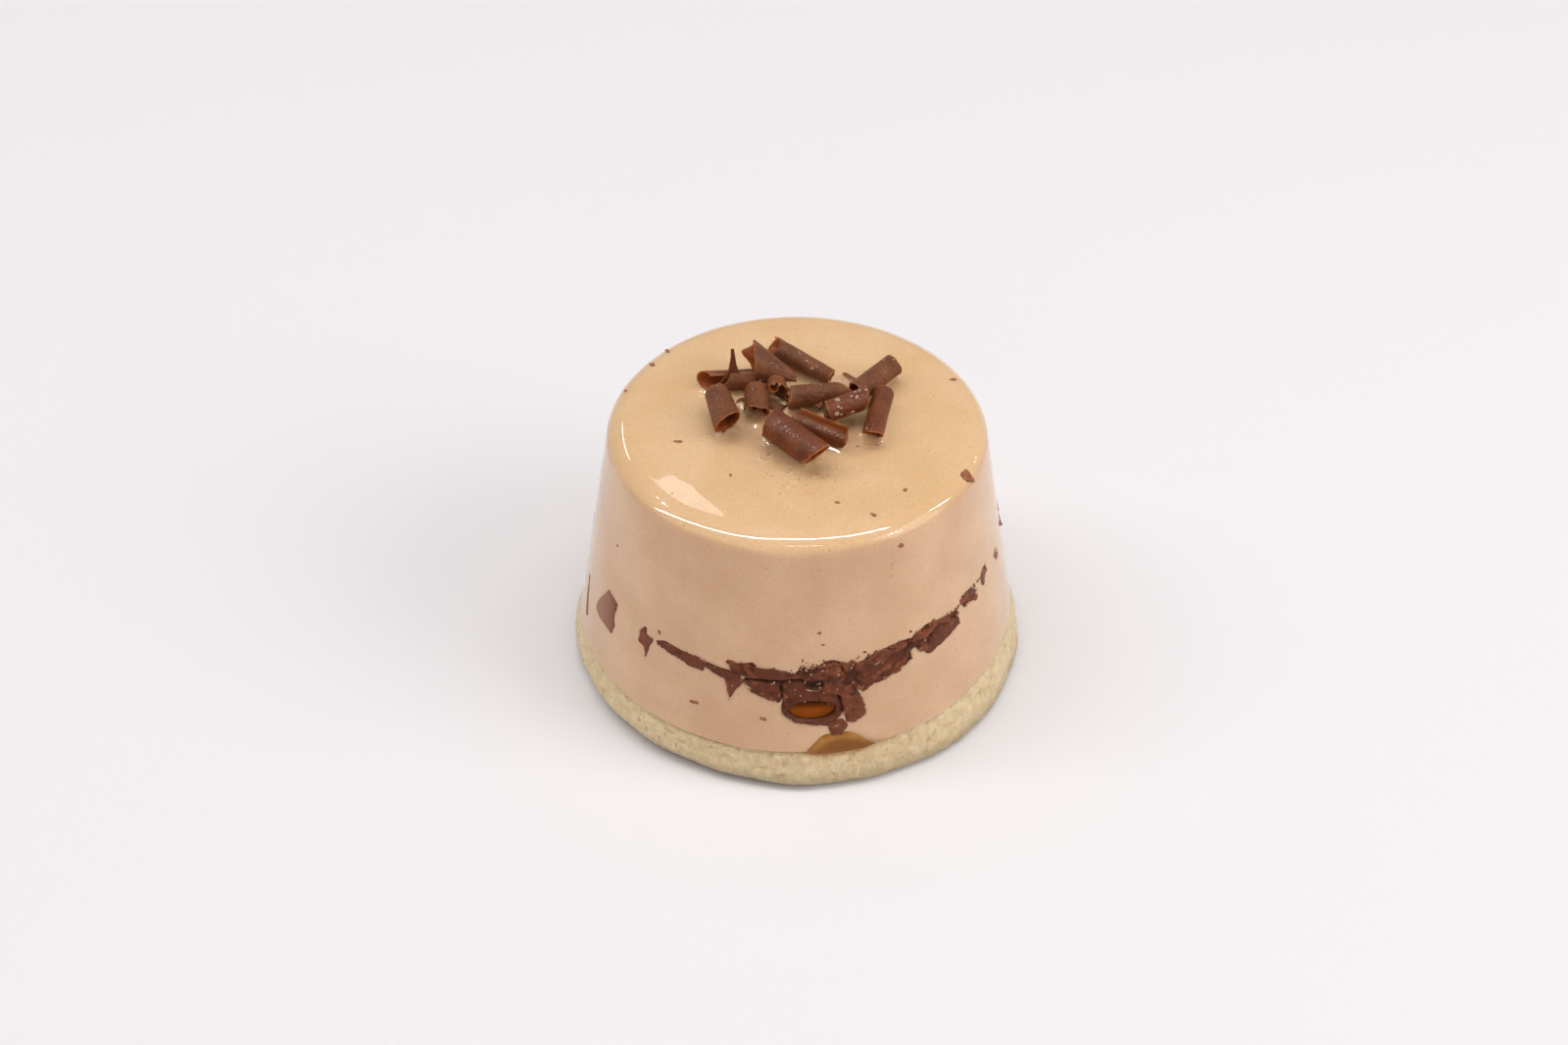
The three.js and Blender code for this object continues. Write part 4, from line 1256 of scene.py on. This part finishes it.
# %% Make the mousse
def make_mousse():
    material, tree, shader = new_material(
        "glazed_mousse", Roughness=0.6, Subsurface_Weight=0.35, Subsurface_Radius=(1.0, 0.7, 0.45),
        Subsurface_Scale=0.0016, Coat_Weight=1.0, Coat_Roughness=0.01, Coat_IOR=1.4, Specular_IOR_Level=0.15)
    place = object_place(tree)
    waver = add_node(tree, "ShaderNodeTexNoise", {"Vector": place, "Scale": 160.0, "Detail": 2.0}).outputs[0]
    edge = math_node(tree, "MULTIPLY_ADD", waver, 0.6 * MM, height_of(tree, place))
    cap = ranged(tree, edge, COLOR_EDGE * MM, (COLOR_EDGE + COLOR_BLEND) * MM)
    side = mottled(tree, 9.0, 0.5, (216, 173, 134), (228, 188, 149))
    gold = mottled(tree, 11.0, 0.5, (228, 185, 134), (236, 197, 150))
    body = mixed(tree, cap, side, gold)
    seam = tinted(tree, body, (166, 120, 74), mark(tree, "joint"), (0.1, 1.0), (0.0, 0.5))
    open_arch = mixed(tree, mark(tree, "arch"), seam, screen_color(214, 166, 98))
    stained = tinted(tree, open_arch, (140, 76, 2), mark(tree, "amber"), (0.1, 1.0), (0.0, 0.9))
    dusty = tinted(tree, stained, (176, 118, 74), patches(tree, 0.35, 0.45), (0.0, 1.0), (0.13, 0.0))
    specks = pores(tree, 1.5, 0.16, 0.11)["Mask"]
    specked = tinted(tree, dusty, (120, 74, 46), specks, (0.0, 1.0), (0.0, 0.55))
    # The tiny bubble pits are painted darker: painted shade in them.
    bubbles = pores(tree, 0.5, 0.35, 0.26)["Mask"]
    fine = tinted(tree, specked, (160, 112, 76), bubbles, (0.0, 1.0), (0.0, 0.26))
    tree.links.new(fine, shader.inputs["Base Color"])
    tree.links.new(add_bump(tree, grain(tree, 0.35, 0.6), 0.03), shader.inputs["Normal"])
    pits = pores(tree, 0.9, 0.25, 0.16)["Height"]
    tree.links.new(add_bump(tree, pits, 0.05), shader.inputs["Coat Normal"])
    return material


add_piece("glazed_mousse_round", mousse_mesh(), make_mousse(), ("mousse",))

# %% [markdown]
# ## The sponge
# The sponge base is baked, so it is full of open pores, and it was cut with a ring, so its wall is straight
# but crumbly. It bulges a little out of the cone at the sides, and its lower edge is worn round, most at
# the front left. The pores are in the mesh, since they show in the outline, and finer ones are in the
# material.

# %% Build the sponge
SPONGE_FLARE = 0.4  # how far it bulges out at the sides
SPONGE_FLARE_FROM = 4  # how far under the joint it bulges fully
SPONGE_EDGE = 1.7  # rounding of the lower edge
SPONGE_UNDERCUT = 2.6  # and how much more there is of it at the front left
SPONGE_TUCK = 0.35  # how far its upper edge lies back under the mousse
SPONGE_COLUMNS = 900
SPONGE_CRUMBS = [(0.09, 0.7, 43), (0.05, 0.3, 44), (0.15, 4, 45)]
SPONGE_RINGS = np.array([0.3, 0.6, 0.85, 0.97])  # rings of the underside, as shares of its radius


def sponge_mesh():
    angle = np.arange(SPONGE_COLUMNS) / SPONGE_COLUMNS * 2 * math.pi
    joint = joint_height(angle) - 0.1
    undercut = np.maximum(0, np.cos(angle + math.radians(45))) ** 3
    edge = SPONGE_EDGE + SPONGE_UNDERCUT * undercut
    flare = SPONGE_FLARE * np.sin(angle) ** 2
    crumb = 0.15 * np.cos(8 * angle) + 0.1 * np.cos(18 * angle)

    def wall(height):
        bulge = flare * np.minimum(1, (joint - height) / SPONGE_FLARE_FROM)
        return cone_radius(height) + bulge + crumb * (joint - height) / joint

    share = np.linspace(0, 1, 14)[:, None]
    edge_height = edge * share
    edge_radius = wall(edge_height) - edge * (1 - np.sqrt(np.maximum(0, 1 - (1 - share) ** 2)))
    wall_height = edge + (joint - edge) * np.linspace(0, 1, 22)[1:, None]
    near_top = smooth_step(joint - wall_height, 0.9, 0)
    wall_radius = wall(wall_height) - SPONGE_TUCK * near_top
    under = SPONGE_RINGS[:, None] * edge_radius[:1]
    over = SPONGE_RINGS[::-1, None] * wall_radius[-1:]
    radius = np.concatenate([under, edge_radius, wall_radius, over])
    height = np.concatenate([0 * under, edge_height, wall_height, 0 * over + joint])
    angle = angle[None] + 0 * radius
    points = round_points(radius, height, angle)
    large_pores = 0.4 * np.maximum(0, lumps(points, 1.0, 41) - 0.35)
    depth = large_pores + 0.2 * np.maximum(0, lumps(points, 0.45, 42) - 0.25)
    crumbs = waves(points, SPONGE_CRUMBS)
    on_wall = smooth_step(height, 0, 0.25) * smooth_step(joint - height, 0, 0.3)
    radius = radius + (crumbs - depth) * on_wall
    height = height + 0.5 * crumbs * on_wall
    points = round_points(radius, np.maximum(height, 0), angle).reshape(-1, 3)
    ends = np.array([[0, 0, 0], [0, 0, JOINT_HEIGHT - 0.1]])
    marks = {"amber": with_ends(amber_share(angle, height)), "pore": with_ends(depth * on_wall)}
    return np.concatenate([points, ends]), round_faces(*radius.shape), marks


# %% Make the sponge
def make_sponge():
    material, tree, shader = new_material(
        "sponge_with_shaded_foot", Roughness=0.65, Subsurface_Weight=0.3, Subsurface_Radius=(1.0, 0.8, 0.4),
        Subsurface_Scale=0.0012, Coat_Weight=0.5, Coat_Roughness=0.18)
    height = height_of(tree, object_place(tree))
    body = mottled(tree, 1.6, 0.6, (220, 190, 140), (241, 217, 171))
    # The pores of the mesh, and the finer pores of the material below, are painted darker: painted shade in
    # the holes.
    pore_shade = tinted(tree, body, (186, 154, 104), mark(tree, "pore"), (0.0, 0.25), (0.0, 0.35))
    holes = pores(tree, 0.42, 0.4, 0.36)
    fine_pore_shade = tinted(tree, pore_shade, (150, 122, 78), holes["Mask"], (0.0, 1.0), (0.0, 0.4))
    stained = tinted(tree, fine_pore_shade, (190, 126, 44), mark(tree, "amber"), (0.0, 1.0), (0.0, 0.75))
    # Darker towards the bottom of the wall, where it stands on the floor: painted shade.
    shaded_foot = tinted(tree, stained, (120, 100, 70), height, (0.3 * MM, 4.2 * MM), (0.6, 0.0))
    tree.links.new(shaded_foot, shader.inputs["Base Color"])
    crumbs = add_bump(tree, grain(tree, 0.3, 0.7), 0.2)
    tree.links.new(add_bump(tree, holes["Height"], 0.14, crumbs), shader.inputs["Normal"])
    return material


add_piece("porous_sponge_base", sponge_mesh(), make_sponge(), ("sponge_base",))

# %% [markdown]
# ## Flecks, crumbs and beads
# Small things lie on the cake: flecks of chocolate that came loose, crumbs along the upper edge of the bed,
# and beads of dew and glaze on the curls. Each one is a low dome with an uneven outline, and its foot is
# sunk into what it lies on. A dome knows the direction that points away from the surface, so the same
# function serves for the top, for the side and for the round back of a curl.


# %% Low domes
UP = (0, 0, 1)


def low_dome(seed, place, out, across, length, width, height, uneven=0.25, rows=5, columns=14):
    """A low dome: out points away from the surface, across gives the direction of its length."""
    out = np.asarray(out, float) / np.linalg.norm(out)
    side = np.cross(out, across)
    side /= np.linalg.norm(side)
    front = np.cross(side, out)
    angle = np.arange(columns) / columns * 2 * math.pi
    corner = 1 + uneven * lumps(np.stack([np.cos(angle), np.sin(angle), 0 * angle], -1), 0.8, seed)
    share = np.linspace(0.15, 1, rows)[:, None]
    rise = np.sqrt(1 - 0.9 * share**4) - 0.7 * (share == 1)
    reach = share * corner
    forwards = (length * reach * np.cos(angle))[..., None] * front
    sideways = (width * reach * np.sin(angle))[..., None] * side
    upwards = (height * rise * np.ones(columns))[..., None] * out
    domed = (np.asarray(place) + forwards + sideways + upwards).reshape(-1, 3)
    ends = np.array([np.asarray(place) + height * out, np.asarray(place) - 0.4 * height * out])
    points = np.concatenate([domed, ends])
    return points, outward(points, dome_faces(rows, columns))


def dome_faces(rows, columns):
    """Triangles of a dome whose first row lies round its head and whose last row lies round its foot."""
    quads = grid_faces(rows, columns, closed=True)
    return np.concatenate([quads[:, [0, 1, 2]], quads[:, [0, 2, 3]], *end_fans(rows, columns)])


def gathered(domes, **values):
    """Many domes as one mesh, whose marks have the same value everywhere."""
    points, faces, first = [], [], 0
    for dome_points, corners in domes:
        points.append(dome_points)
        faces += [[corner + first for corner in face] for face in corners]
        first += len(dome_points)
    return np.concatenate(points), faces, {name: np.full(first, value) for name, value in values.items()}


# %% Flecks on the glaze
# On the top: x, y, length and width. On the side: angle, height, length and width.
TOP_FLECKS = [(-17.75, -5.6, 0.75, 0.3), (10.9, -22.0, 0.65, 0.35), (-9.75, -13.5, 0.35, 0.2),
              (15.6, -16.6, 0.4, 0.25), (5.8, -19.5, 0.4, 0.25), (-22.4, 14.1, 0.5, 0.3),
              (-20.2, 17.7, 0.4, 0.3), (-26.3, 7.5, 0.35, 0.25), (23.9, 10.2, 0.5, 0.3),
              (14.5, 15.8, 0.35, 0.2), (-3.2, 20.4, 0.4, 0.25)]
SIDE_FLECKS = [(31, 40.2, 0.6, 0.4), (6, 28.5, 0.45, 0.25), (7, 26.4, 0.35, 0.25),
               (-27.5, 13.2, 0.75, 0.25), (-8.5, 13.2, 0.5, 0.3), (-40, 22.7, 0.45, 0.3),
               (-62, 31, 0.35, 0.2), (142, 33, 0.7, 0.4), (152, 14, 0.6, 0.3), (188, 36, 0.5, 0.4),
               (214, 29, 0.4, 0.25), (243, 12.6, 0.7, 0.3), (236, 35, 0.5, 0.3)]
RIM_FLECK = (64.8, 7, 1.25, 1.05)  # angle, row of the rim's outline, length down the slope and width
FLECK_UNEVEN = 0.6
SIDE_LEAN = (BASE_RADIUS - TOP_RADIUS) / CAKE_HEIGHT


def on_top_at(x, y):
    return np.array([x, y, top_height(np.hypot(x, y))])


def on_side_at(degrees, height):
    """A place on the side and the direction away from it."""
    angle = math.radians(degrees)
    place = round_points(cone_radius(height), height, angle)
    return place, np.array([math.sin(angle), -math.cos(angle), SIDE_LEAN])


def glaze_flecks():
    degrees, row, length, width = RIM_FLECK
    angle = math.radians(degrees)
    radius, height = rim_outline(RIM_ROWS)[row]
    slope = round_points(0.6, 0.8, angle)
    down = round_points(0.8, -0.6, angle)
    yield low_dome(299, round_points(radius, height, angle), slope, down, length, width, 0.12, FLECK_UNEVEN)
    for number, (x, y, length, width) in enumerate(TOP_FLECKS):
        across = (math.cos(2.4 * number), math.sin(2.4 * number), 0)
        yield low_dome(300 + number, on_top_at(x, y), UP, across, length, width, 0.1, FLECK_UNEVEN)
    for number, (degrees, height, length, width) in enumerate(SIDE_FLECKS):
        place, out = on_side_at(degrees, height)
        across = np.cross(UP, out) + (0, 0, 0.5 * math.sin(3 * number))
        yield low_dome(340 + number, place, out, across, length, width, 0.08, FLECK_UNEVEN)


# %% Crumbs along the upper edge of the bed
# Bands: from and to angle, height of the bed's upper edge there and how many crumbs.
CRUMB_BANDS = [(-32, -24, 21.7, 10), (-20, -9, 22.6, 9), (-8, 0, 22.2, 16), (0, 16, 23.1, 46),
               (16, 32, 23.9, 30), (32, 50, 24.7, 22), (50, 66, 25.6, 16), (8, 13, 10.8, 8),
               (92, 262, 23.2, 70)]


def bed_crumbs(seed):
    """Crumbs at random in the bands."""
    draw = np.random.default_rng(seed)
    for begin, finish, height, count in CRUMB_BANDS:
        for _ in range(count):
            up = height - 0.65 + abs(draw.normal(0, 0.4))
            place, out = on_side_at(draw.uniform(begin, finish), up)
            size = draw.uniform(0.12, 0.34)
            number = int(draw.integers(9999))
            across = UP + draw.normal(0, 1, 3)
            yield low_dome(number, place, out, across, size, size * draw.uniform(0.4, 0.9), 0.09, 0.5)


# %% Shavings too small to roll, between the curls
# Place of each, its lift over the top, the direction of its length, then length, width and height.
CHIPS = [(-2.4, 4.6, 1.3, (1, 0.3, -0.6), 1.3, 0.9, 0.5), (-1.2, 3.4, 0.6, (0.4, 1, 0.2), 1.2, 0.8, 0.5),
         (-3.2, 2.2, 0.3, (1, -0.4, 0), 1.5, 0.8, 0.35), (-8.6, 3.7, 0.25, (1, 0.5, 0), 0.9, 0.4, 0.3),
         (-8.3, 2.4, 0.1, (1, 0.1, 0), 0.6, 0.3, 0.2),
         (3.3, -0.9, 2.9, (0.4, 1, 0.5), 0.7, 0.45, 0.35), (4.4, -1.9, 2.2, (1, -0.6, -0.3), 1.2, 0.5, 0.3),
         (-4.9, 5.9, 1.9, (1, -0.2, 0), 1.4, 0.7, 0.5), (9.9, 2.7, 1.3, (0.5, 1, 0), 1.0, 0.5, 0.4)]
CHIP_OUT = (0.1, -0.5, 1)


def small_chips():
    for number, (x, y, lift, across, length, width, height) in enumerate(CHIPS):
        place = (x, y, CAKE_HEIGHT + lift)
        yield low_dome(500 + number, place, CHIP_OUT, across, length, width, height, uneven=0.7, columns=20)


# %% Fleck chocolate
def make_fleck_chocolate():
    material, tree, shader = new_material(
        "fleck_chocolate", Roughness=0.45, Subsurface_Weight=0.2, Subsurface_Scale=0.0005, Coat_Weight=0.3,
        Coat_Roughness=0.1, Specular_IOR_Level=0.25)
    body = mottled(tree, 0.8, 0.4, (136, 76, 38), (176, 104, 58))
    tree.links.new(body, shader.inputs["Base Color"])
    tree.links.new(add_bump(tree, grain(tree, 0.2, 0.7), 0.05), shader.inputs["Normal"])
    return material


add_piece("chocolate_flecks", gathered(glaze_flecks()), make_fleck_chocolate())
crumbs = gathered(bed_crumbs(17), tint=0.9, veil=0.0, height=0.0)
add_piece("bed_crumbs", crumbs, layer_chocolate)
add_piece("small_shavings", gathered(small_chips(), thin=0.0, inside=0.0), curl_chocolate)

# %% [markdown]
# ## Dew, sheen and tiny bubbles
# The glaze stands in beads on the curls and holds tiny bubbles in front of the curls. A bumpy coat in the
# material could sparkle too, but from here it only looked grey. So each bead is a small dome, and the sheen
# of the wet curls is many fine beads where the long light is mirrored. The beads are pale, so they are also
# a painted sheen, and pale beads along the edges of the bed's pieces are painted glints.

# %% Dew and beads of glaze
# On a curl: its name, shares along and around of the outer face, spread, number and largest radius.
DEW = [("curl_dewy", 0.45, 0.45, 0.22, 9, 0.46), ("curl_dewy", 0.85, 0.5, 0.12, 10, 0.34),
       ("curl_back", 0.55, 0.5, 0.16, 8, 0.3), ("curl_cone", 0.5, 0.3, 0.2, 6, 0.22),
       ("curl_middle_right", 0.6, 0.5, 0.25, 9, 0.24), ("curl_right_front", 0.9, 0.5, 0.1, 6, 0.24),
       ("curl_left_front", 0.4, 0.5, 0.25, 6, 0.2), ("curl_barrel", 0.3, 0.2, 0.15, 5, 0.28),
       ("curl_right_back", 0.7, 0.5, 0.2, 6, 0.2)]
# On the top: x, y and radius.
GLAZE_BEADS = [(-8.9, 3.9, 0.45), (-8.7, 2.7, 0.38), (-7.9, 1.4, 0.35), (-9.0, 0.4, 0.32), (8.6, 7.4, 0.35),
               (3.9, 8.4, 0.4), (-4.3, -8.6, 0.3), (9.0, -6.8, 0.3), (11.9, -6.6, 0.28), (-1.5, -12.8, 0.28)]

# Curls with a sheen of fine beads: name, number tried, share along where they are densest, spread and
# largest radius.
SHEEN = [("curl_front", 3600, 0.4, 0.26, 0.13), ("curl_front_scroll", 3000, 0.45, 0.3, 0.12),
         ("curl_cone", 900, 0.5, 0.2, 0.08), ("curl_middle_right", 700, 0.5, 0.3, 0.08),
         ("curl_back", 600, 0.5, 0.15, 0.09), ("curl_dewy", 900, 0.5, 0.3, 0.1)]
SHEEN_FACING = np.array([-0.2, -0.42, 0.885])  # surfaces that face this way mirror the long light
SHEEN_NARROW = 0.965  # how exactly they have to face it, where 1 is straight at it
SHEEN_KEPT = 0.35  # share of the beads there that are kept
SHEEN_SCATTER = 0.1  # how far a bead strays from its place


def place_on_curl(name, along, around):
    """A place on the outer face of a curl, from shares along and around, and the direction up from it."""
    cells_along, cells_around = CURL_CELLS
    outer = curl_meshes[name][0][: (cells_along + 1) * (cells_around + 1)]
    grid = outer.reshape(cells_along + 1, cells_around + 1, 3)
    i = int(np.clip(along, 0.03, 0.97) * (cells_along - 2)) + 1
    j = int(np.clip(around, 0.03, 0.97) * (cells_around - 2)) + 1
    out = np.cross(grid[i + 1, j] - grid[i - 1, j], grid[i, j + 1] - grid[i, j - 1])
    return grid[i, j], out / np.linalg.norm(out) * (1 if out[2] > 0 else -1)


def bead(draw, place, out, radius):
    """A round bead with a seed of its own."""
    number = int(draw.integers(9999))
    return low_dome(number, place, out, (1, 0.3, 0.2), radius, 0.8 * radius, 0.55 * radius, 0.15)


def sheen(seed):
    draw = np.random.default_rng(seed)
    for name, count, along, spread, largest in SHEEN:
        for _ in range(count):
            place, out = place_on_curl(name, draw.normal(along, spread), draw.uniform())
            if out @ SHEEN_FACING > SHEEN_NARROW and draw.uniform() < SHEEN_KEPT:
                strayed = place + SHEEN_SCATTER * draw.normal(0, 1, 3) * (1 - out**2)
                radius = largest * draw.uniform(0.35, 1)
                yield bead(draw, strayed, out, radius)


def dew(seed):
    draw = np.random.default_rng(seed)
    for name, along, around, spread, count, largest in DEW:
        for _ in range(count):
            place, out = place_on_curl(name, draw.normal(along, spread), draw.normal(around, spread / 2))
            yield bead(draw, place, out, largest * draw.uniform(0.3, 1) ** 1.5)
    for number, (x, y, radius) in enumerate(GLAZE_BEADS):
        place = on_top_at(x, y)
        yield low_dome(700 + number, place, UP, (1, 0, 0), radius, 0.8 * radius, 0.7 * radius, 0.15)


# %% Glints on the bed, painted as pale beads
GLINTS = 36
GLINT_FROM, GLINT_TO = (-40, 12), (50, 24.5)  # angle and height


def bed_glints(seed):
    """Pale beads over the broken pieces at the front, as painted glints, without end."""
    draw = np.random.default_rng(seed)
    while True:
        spot = draw.uniform(GLINT_FROM, GLINT_TO)
        if bed_distance(unrolled([spot]))[0] > 0.1:
            place, out = on_side_at(*spot)
            size = draw.uniform(0.06, 0.17)
            yield low_dome(int(draw.integers(9999)), place, out, draw.normal(0, 1, 3), size * 1.4, size, 0.2)


# Painted glints along the edges of pieces at the front: angle, height, direction of the length, length and
# width.
EDGE_GLINTS = [(2, 20, UP, 0.5, 0.1), (4.4, 18.5, (1, 0, -0.1), 1.0, 0.12),
             (5.8, 19.7, (1, 0, 0.4), 0.4, 0.08),
             (10.2, 11.9, (1, 0, 0.3), 0.9, 0.13), (12.2, 14.4, (0.2, 0, 1), 0.6, 0.1),
             (-12.6, 18.5, (1, 0, -0.5), 0.7, 0.12), (-25.4, 21.3, (1, 0, -0.4), 0.6, 0.13),
             (34.4, 21.2, (1, 0, 0.6), 0.5, 0.12), (21.5, 21.6, (1, 0, 0.6), 0.5, 0.1)]


def edge_glints():
    for number, (degrees, height, across, length, width) in enumerate(EDGE_GLINTS):
        place, out = on_side_at(degrees, height)
        yield low_dome(800 + number, place, out, across, length, width, 0.2, 0.5)


# %% Tiny bubbles
FRONT_BUBBLES = 80  # tried round a spot in front of the curls
FRONT_SPOT, FRONT_SPREAD = (1.2, -13.2), (4.2, 1.7)
ALL_BUBBLES = 150  # tried with those all over the top
TOP_SPREAD = 14
BUBBLE_LIMIT = 25  # none lie further out than this


def tiny_bubbles(seed):
    """Bubbles caught in the glaze in front of the curls, and a few all over the top."""
    draw = np.random.default_rng(seed)
    for number in range(ALL_BUBBLES):
        in_front = number < FRONT_BUBBLES
        spot = draw.normal(FRONT_SPOT, FRONT_SPREAD) if in_front else draw.normal(0, TOP_SPREAD, 2)
        if np.hypot(*spot) < BUBBLE_LIMIT:
            radius = draw.uniform(0.07, 0.17)
            yield low_dome(number, on_top_at(*spot), UP, (1, 0, 0), radius, radius, 0.12 * radius, 0.1)


# %% Pale glaze, with painted glints
def make_glaze_and_glints():
    """A bead of glaze shows some of what lies under it and has a bright shine; its pale colour is partly a
    painted highlight.
    """
    material, tree, shader = new_material(
        "pale_glaze_and_painted_glints", Roughness=0.2, Coat_Weight=0.5, Coat_Roughness=0.03, Specular_IOR_Level=0.2,
        Alpha=0.6)
    pale = mottled(tree, 0.6, 0.5, (166, 124, 92), (240, 212, 184))
    tree.links.new(pale, shader.inputs["Base Color"])
    return material


def make_bubble_glaze():
    """A bubble looks like a dark pinhole or a bright dot, as the light happens to pass it."""
    material, tree, shader = new_material("bubble_glaze", Roughness=0.5, Specular_IOR_Level=0.05)
    either = mottled(tree, 0.9, 0.1, (178, 130, 80), (248, 222, 184))
    tree.links.new(either, shader.inputs["Base Color"])
    return material


# The sheen beads and the glints on the bed are pale beads that stand for highlights: painted highlights.
beads = gathered([*dew(5), *sheen(3), *islice(bed_glints(9), GLINTS), *edge_glints()])
add_piece("dew_and_painted_glints", beads, make_glaze_and_glints())
add_piece("tiny_bubbles", gathered(tiny_bubbles(23)), make_bubble_glaze())

# %% [markdown]
# ## The stage
# The cake stands on a plain pale floor. Soft light comes from all round, with a large soft box at the right
# that gives the faint shadow on the left. The glaze mirrors its lights, so their places and shapes are seen
# in it: a long strip overhead draws the thin bright line along the rim, and a window behind it lies as a
# pale patch on the slope of the top.

# %% Floor and world
FLOOR_HALF = 3.0  # in metres
FLOOR_SIGNS = [(-1, -1), (1, -1), (1, 1), (-1, 1)]
floor_corners = [(FLOOR_HALF * x, FLOOR_HALF * y, 0) for x, y in FLOOR_SIGNS]

floor_mesh = bpy.data.meshes.new("floor")
floor_mesh.from_pydata(floor_corners, [], [(0, 1, 2, 3)])
floor = bpy.data.objects.new("floor", floor_mesh)
bpy.context.scene.collection.objects.link(floor)
floor_paint, _, floor_shader = new_material("floor_paint", Roughness=0.9)
floor_shader.inputs["Base Color"].default_value = screen_color(240, 237, 238)
floor_mesh.materials.append(floor_paint)

world = bpy.data.worlds.new("soft_world")
world.use_nodes = True
background = world.node_tree.nodes["Background"]
background.inputs["Color"].default_value = screen_color(250, 249, 251)
background.inputs["Strength"].default_value = 0.44
bpy.context.scene.world = world
bpy.context.scene.view_settings.view_transform = "Standard"


# %% Lights
def add_light(name, place, size, radiance, turn=None):
    """A flat light. With a turn in degrees it lies level and faces down, otherwise it looks at the cake."""
    lamp = bpy.data.lights.new(name, "AREA")
    lamp.shape = "RECTANGLE"
    lamp.size, lamp.size_y = size
    lamp.energy = radiance * math.pi * size[0] * size[1]
    light = bpy.data.objects.new(name, lamp)
    light.location = place
    if turn is None:
        aim = Vector((0, 0, CAKE_HEIGHT * MM / 2)) - Vector(place)
        light.rotation_euler = aim.to_track_quat("-Z", "Y").to_euler()
    else:
        light.rotation_euler = (0, 0, math.radians(turn))
    bpy.context.scene.collection.objects.link(light)
    return light


# Small bright lights in the ceiling, which only the shine of the glaze shows.
# Name, place to the right and to the back in metres, size, radiance and turn.
CEILING = 1.2
for name, across, back, size, radiance, turn in [
    ("strip_overhead", -0.7, 0.0, (2.6, 0.07), 60.0, 0),
    ("strip_right", 1.26, -0.66, (0.36, 0.08), 50.0, 0),
    ("strip_far_right", 1.52, 0.25, (0.75, 0.09), 36.0, 18),
    ("small_front_lamp", 0.06, -0.52, (0.3, 0.06), 16.0, 0),
    ("window_behind", -0.24, 1.04, (0.17, 0.2), 4.5, 20),
    ("streak_left", -0.88, 1.5, (0.05, 0.7), 30.0, 12),
    ("small_lamp_left", -0.8, 0.46, (0.2, 0.1), 40.0, 0),
    ("spot_right", 2.4, 1.8, (0.14, 0.3), 16.0, 0),
]:
    add_light(name, (across, back, CEILING), size, radiance, turn).visible_diffuse = False

# Large soft lights: name, place, size, radiance and turn. The one overhead has no image in the glaze.
for name, place, size, radiance, turn in [
    ("soft_ceiling", (-0.5, 0, CEILING), (2.4, 0.4), 3.5, 0),
    ("soft_box_right", (0.95, -0.35, 0.7), (0.7, 0.7), 3.1, None),
    ("soft_box_front", (-0.15, -1.1, 0.55), (0.9, 0.5), 0.3, None),
]:
    add_light(name, place, size, radiance, turn).visible_glossy = name != "soft_ceiling"
